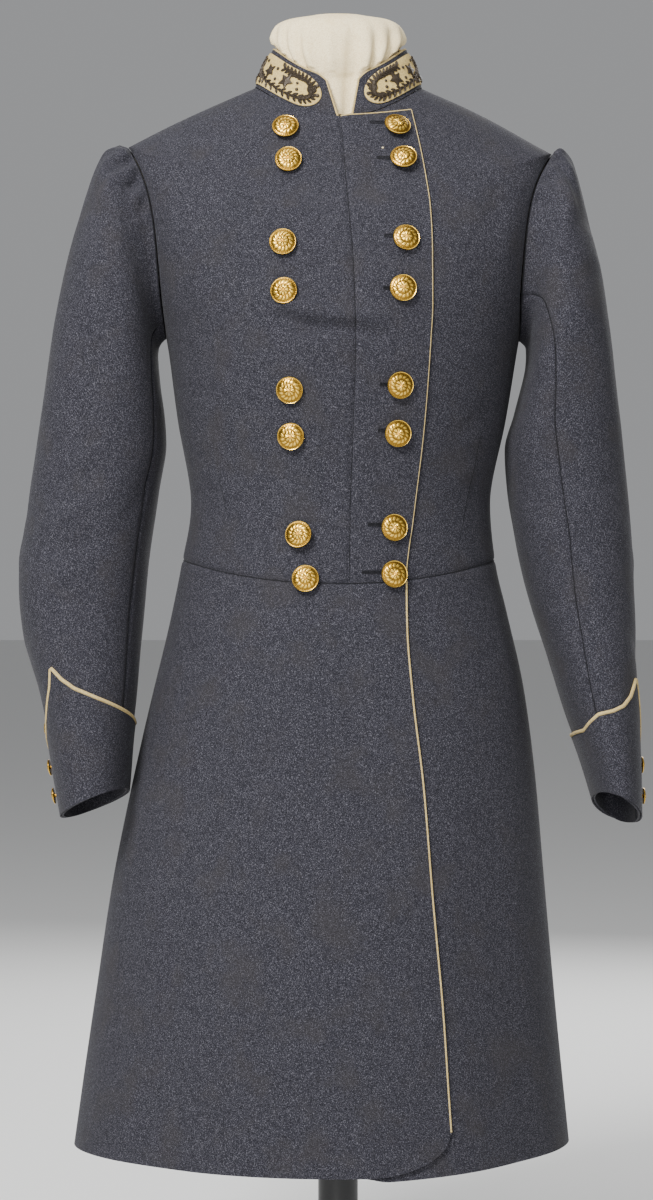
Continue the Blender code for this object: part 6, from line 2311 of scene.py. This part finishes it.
                way = ahead * math.cos(turn) + high * math.sin(turn)
                pieces.append(self.maker.stamps(f"star_{word}_{number}", star,
                                                [(point, way, normal, FULL_SIZE)],
                                                self.looks.bullion, 0.0))
            for piece in pieces:
                self._own(piece, Slot.PATCH)
        for stamp in (leaf, berry, *stars):
            bpy.data.objects.remove(stamp)

    def buttons(self) -> None:
        """Stamped gilt buttons in place of the plain solid ones, each at its own tilt."""
        relief = Relief()
        names = [name for name in self.frame["nodes"] if name.startswith("button_")]
        for name in sorted(names):
            node = self.frame["nodes"][name]
            verts = np.array([vert.co for vert in node.data.vertices], float)
            verts = np.unique(np.round(verts, 7), axis=0)
            middle = verts.mean(0)
            _, _, axes = np.linalg.svd(verts - middle)
            axis = axes[2]
            outward = middle - np.array((0.0, 0.02, middle[2]))
            if name.startswith("button_cuff"):
                side = Side.RIGHT if "right" in name else Side.LEFT
                outward = np.array((side.value, 0.2, 0.0))
            axis = axis if axis @ outward > 0 else -axis
            along = (verts - middle) @ axis
            radius = np.linalg.norm(verts - middle - along[:, None] * axis, axis=1).max()
            side_way = unit(np.cross((0.0, 0.0, 1.0), axis))
            basis = np.stack((side_way, np.cross(axis, side_way), axis), axis=1)
            points, faces, hollow = relief.mesh_points(float(radius))
            origin = middle + axis * (along.min() - 0.0002)
            item = mesh_from("gilt_" + name, points @ basis.T + origin, faces, self.looks.gilt)
            item.data.attributes.new("hollow", "FLOAT", "POINT").data.foreach_set(
                "value", hollow.astype(np.float32))
            self._own(item, Slot.BRASS, name)

    def neck_cover(self) -> None:
        """White cloth over the form's neck, gathered in folds down into the collar."""
        rings = np.array(COVER_RINGS)
        place = np.linspace(0.0, len(rings) - 1.0, COVER_ROWS)[:, None]
        rise, half_x, half_y = (Track(rings[:, column]).at(place) for column in range(3))
        turn = np.linspace(0.0, 2.0 * math.pi, COVER_COLUMNS, endpoint=False)[None, :]
        foot = BODY.point(turn, np.full(turn.shape, float(NECK)))[..., 2] + COVER_FOOT_RISE
        brim = COLLAR.point(turn, np.ones(turn.shape))[..., 2] + COLLAR_BRIM_RISE
        low = foot + (brim - foot) * rise / BRIM_SHARE
        high = brim + (COVER_TOP - brim) * (rise - BRIM_SHARE) / (1.0 - BRIM_SHARE)
        height = np.where(rise <= BRIM_SHARE, low, high)
        across, ahead = np.sin(turn), np.cos(turn)
        move = np.zeros(height.shape)
        for fold in COVER_FOLDS:
            centre = fold.foot + (fold.top - fold.foot) * ease(rise / 0.9)
            away = (np.degrees(turn) - centre + 180.0) % 360.0 - 180.0
            height_here = fold.height * COVER_FOLD_SCALE * MM
            move = move + height_here * np.exp(-(away / fold.width) ** 2)
        move = move * ease((1.0 - rise) / COVER_FOLD_FADE)
        room = COVER_ROOM + ease((rise - BRIM_SHARE) / 0.1)
        room = np.where(move > 0.0, room, COVER_DIP)
        move = room * np.tanh(move / room)
        points = np.stack(((half_x * MM + move) * across,
                           NECK_CENTRE - (half_y * MM + move) * ahead, height), axis=-1)
        last = points[-1]
        centre = last.mean(0)
        caps = [centre + (last - centre) * share + np.array((0.0, 0.0, up))
                for share, up in ((0.7, 0.0006), (0.35, 0.0010), (0.03, 0.0011))]
        points = np.concatenate((points, np.array(caps)))
        nxt = np.roll(points, -1, axis=1) - np.roll(points, 1, axis=1)
        rise_way = np.gradient(points, axis=0)
        normals = unit(np.cross(nxt, rise_way))
        inner = points - normals * COVER_WALL
        rows, columns = points.shape[:2]
        verts = np.concatenate((points.reshape(-1, 3), inner.reshape(-1, 3)))
        item = mesh_from("cloth_neck_cover", verts, wall_faces(rows, columns, True),
                         self.looks.cover)
        self._own(item, Slot.COVER, "form_neck_cover")
        grid = Grid(points, normals)
        self._sheet(item, grid)

    def _turned(self, name: str, profile: Sequence[tuple], steps: int, node: str) -> None:
        """Smooth turned piece of the stand in place of its solid.

        Args:
            name: The piece's name.
            profile: Its radii and heights in metres.
            steps: Sides of its round.
            node: The solid it replaces.
        """
        line = np.array(profile)
        turn = np.linspace(0.0, 2.0 * math.pi, steps, endpoint=False)
        rings = [np.stack((r * np.cos(turn), r * np.sin(turn), np.full(steps, z)), axis=-1)
                 for r, z in line]
        verts = np.concatenate(rings)
        faces = [tuple(range(steps)), tuple(range(len(verts) - 1, len(verts) - 1 - steps, -1))]
        for row in range(len(line) - 1):
            for n in range(steps):
                a, b = row * steps + n, row * steps + (n + 1) % steps
                faces.append((a, b, b + steps, a + steps))
        self._own(mesh_from(name, verts, faces, self.looks.steel, 30.0), Slot.STAND, node)

    def stand(self) -> None:
        """The round base and its pole, smoother than their solids."""
        self._turned("steel_base", [(0.175, 0.0), (0.175, 0.0115), (0.1742, 0.0136),
                                    (0.1722, 0.0148), (0.169, 0.015), (0.034, 0.015),
                                    (0.0305, 0.0160), (0.030, 0.018), (0.030, 0.0235),
                                    (0.0292, 0.0252), (0.027, 0.026)], 128, "form_base")
        self._turned("steel_pole", [(0.0175, 0.0263), (0.0175, 0.4997)], 64, "form_pole")

    def form(self) -> None:
        """The padded form keeps its solid and takes its cloth."""
        node = self.frame["nodes"]["form_body"]
        node.data.materials.clear()
        node.data.materials.append(self.looks.form)


@dataclass
class Studio:
    """Pale floor, soft lights and the photo's camera."""

    camera_at: tuple = (-0.0101, -3.5, 0.605)
    lens: float = 119.3
    lights: tuple = (
        ("key", (-1.7, -3.2, 3.5), (1.3, 1.3), 330.0),
        ("fill", (2.0, -2.6, 1.5), (1.8, 1.8), 12.0),
        ("low_front", (-0.6, -3.6, 1.0), (2.2, 1.2), 48.0),
        ("top", (-0.3, -0.6, 2.9), (2.0, 2.0), 30.0),
        ("back_soft", (0.8, 2.6, 2.0), (2.0, 2.0), 70.0),
    )

    def _floor(self) -> None:
        """Flat pale floor, far wider than any view."""
        half = 60.0
        verts = [(-half, -half, 0.0), (half, -half, 0.0), (half, half, 0.0), (-half, half, 0.0)]
        mesh = bpy.data.meshes.new("floor")
        mesh.from_pydata(verts, [], [(0, 1, 2, 3)])
        floor = linked("floor", mesh)
        material = bpy.data.materials.new("pale_floor")
        material.use_nodes = True
        shader = material.node_tree.nodes["Principled BSDF"]
        shader.inputs["Base Color"].default_value = (0.76, 0.76, 0.75, 1.0)
        shader.inputs["Roughness"].default_value = 0.9
        mesh.materials.append(material)

    def _light(self, name: str, place: tuple, size: tuple, power: float) -> None:
        """Soft lamp of a size in metres and a power in watts, aimed at the coat's middle.

        Args:
            name: The lamp's name.
            place: Where it stands.
            size: Its size in metres.
            power: Its power in watts.
        """
        lamp = bpy.data.lights.new(name, "AREA")
        lamp.shape, lamp.size, lamp.size_y, lamp.energy = "RECTANGLE", *size, power
        item = linked(name, lamp)
        item.location = place
        aim = Vector((0.0, 0.0, 0.65)) - Vector(place)
        item.rotation_mode = "QUATERNION"
        item.rotation_quaternion = aim.to_track_quat("-Z", "Y")

    def build(self) -> None:
        """Make the floor, the lights, the world and the camera."""
        self._floor()
        for name, place, size, power in self.lights:
            self._light(name, place, size, power)
        world = bpy.data.worlds.new("studio")
        world.use_nodes = True
        world.node_tree.nodes["Background"].inputs["Color"].default_value = (0.80, 0.81, 0.83, 1)
        world.node_tree.nodes["Background"].inputs["Strength"].default_value = 0.40
        bpy.context.scene.world = world
        lens = bpy.data.cameras.new("camera")
        lens.sensor_width, lens.lens = 36.0, self.lens
        lens.clip_start, lens.clip_end = 0.05, 60.0
        camera = linked("camera", lens)
        camera.location = self.camera_at
        camera.rotation_euler = (math.radians(90.0), 0.0, 0.0)
        bpy.context.scene.camera = camera


def main() -> None:
    """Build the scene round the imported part."""
    logging.basicConfig(level=logging.INFO, format="%(name)s: %(message)s")
    for item in list(bpy.data.objects):
        bpy.data.objects.remove(item, do_unlink=True)
    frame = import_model()
    garment = Garment(frame)
    garment.cloth()
    garment.left_lapel()
    garment.piping()
    garment.seams()
    garment.embroidery()
    garment.buttons()
    garment.neck_cover()
    garment.form()
    garment.stand()
    Studio().build()
    LOG.info("cuts %s", garment.cuts)


if __name__ == "__main__":
    main()
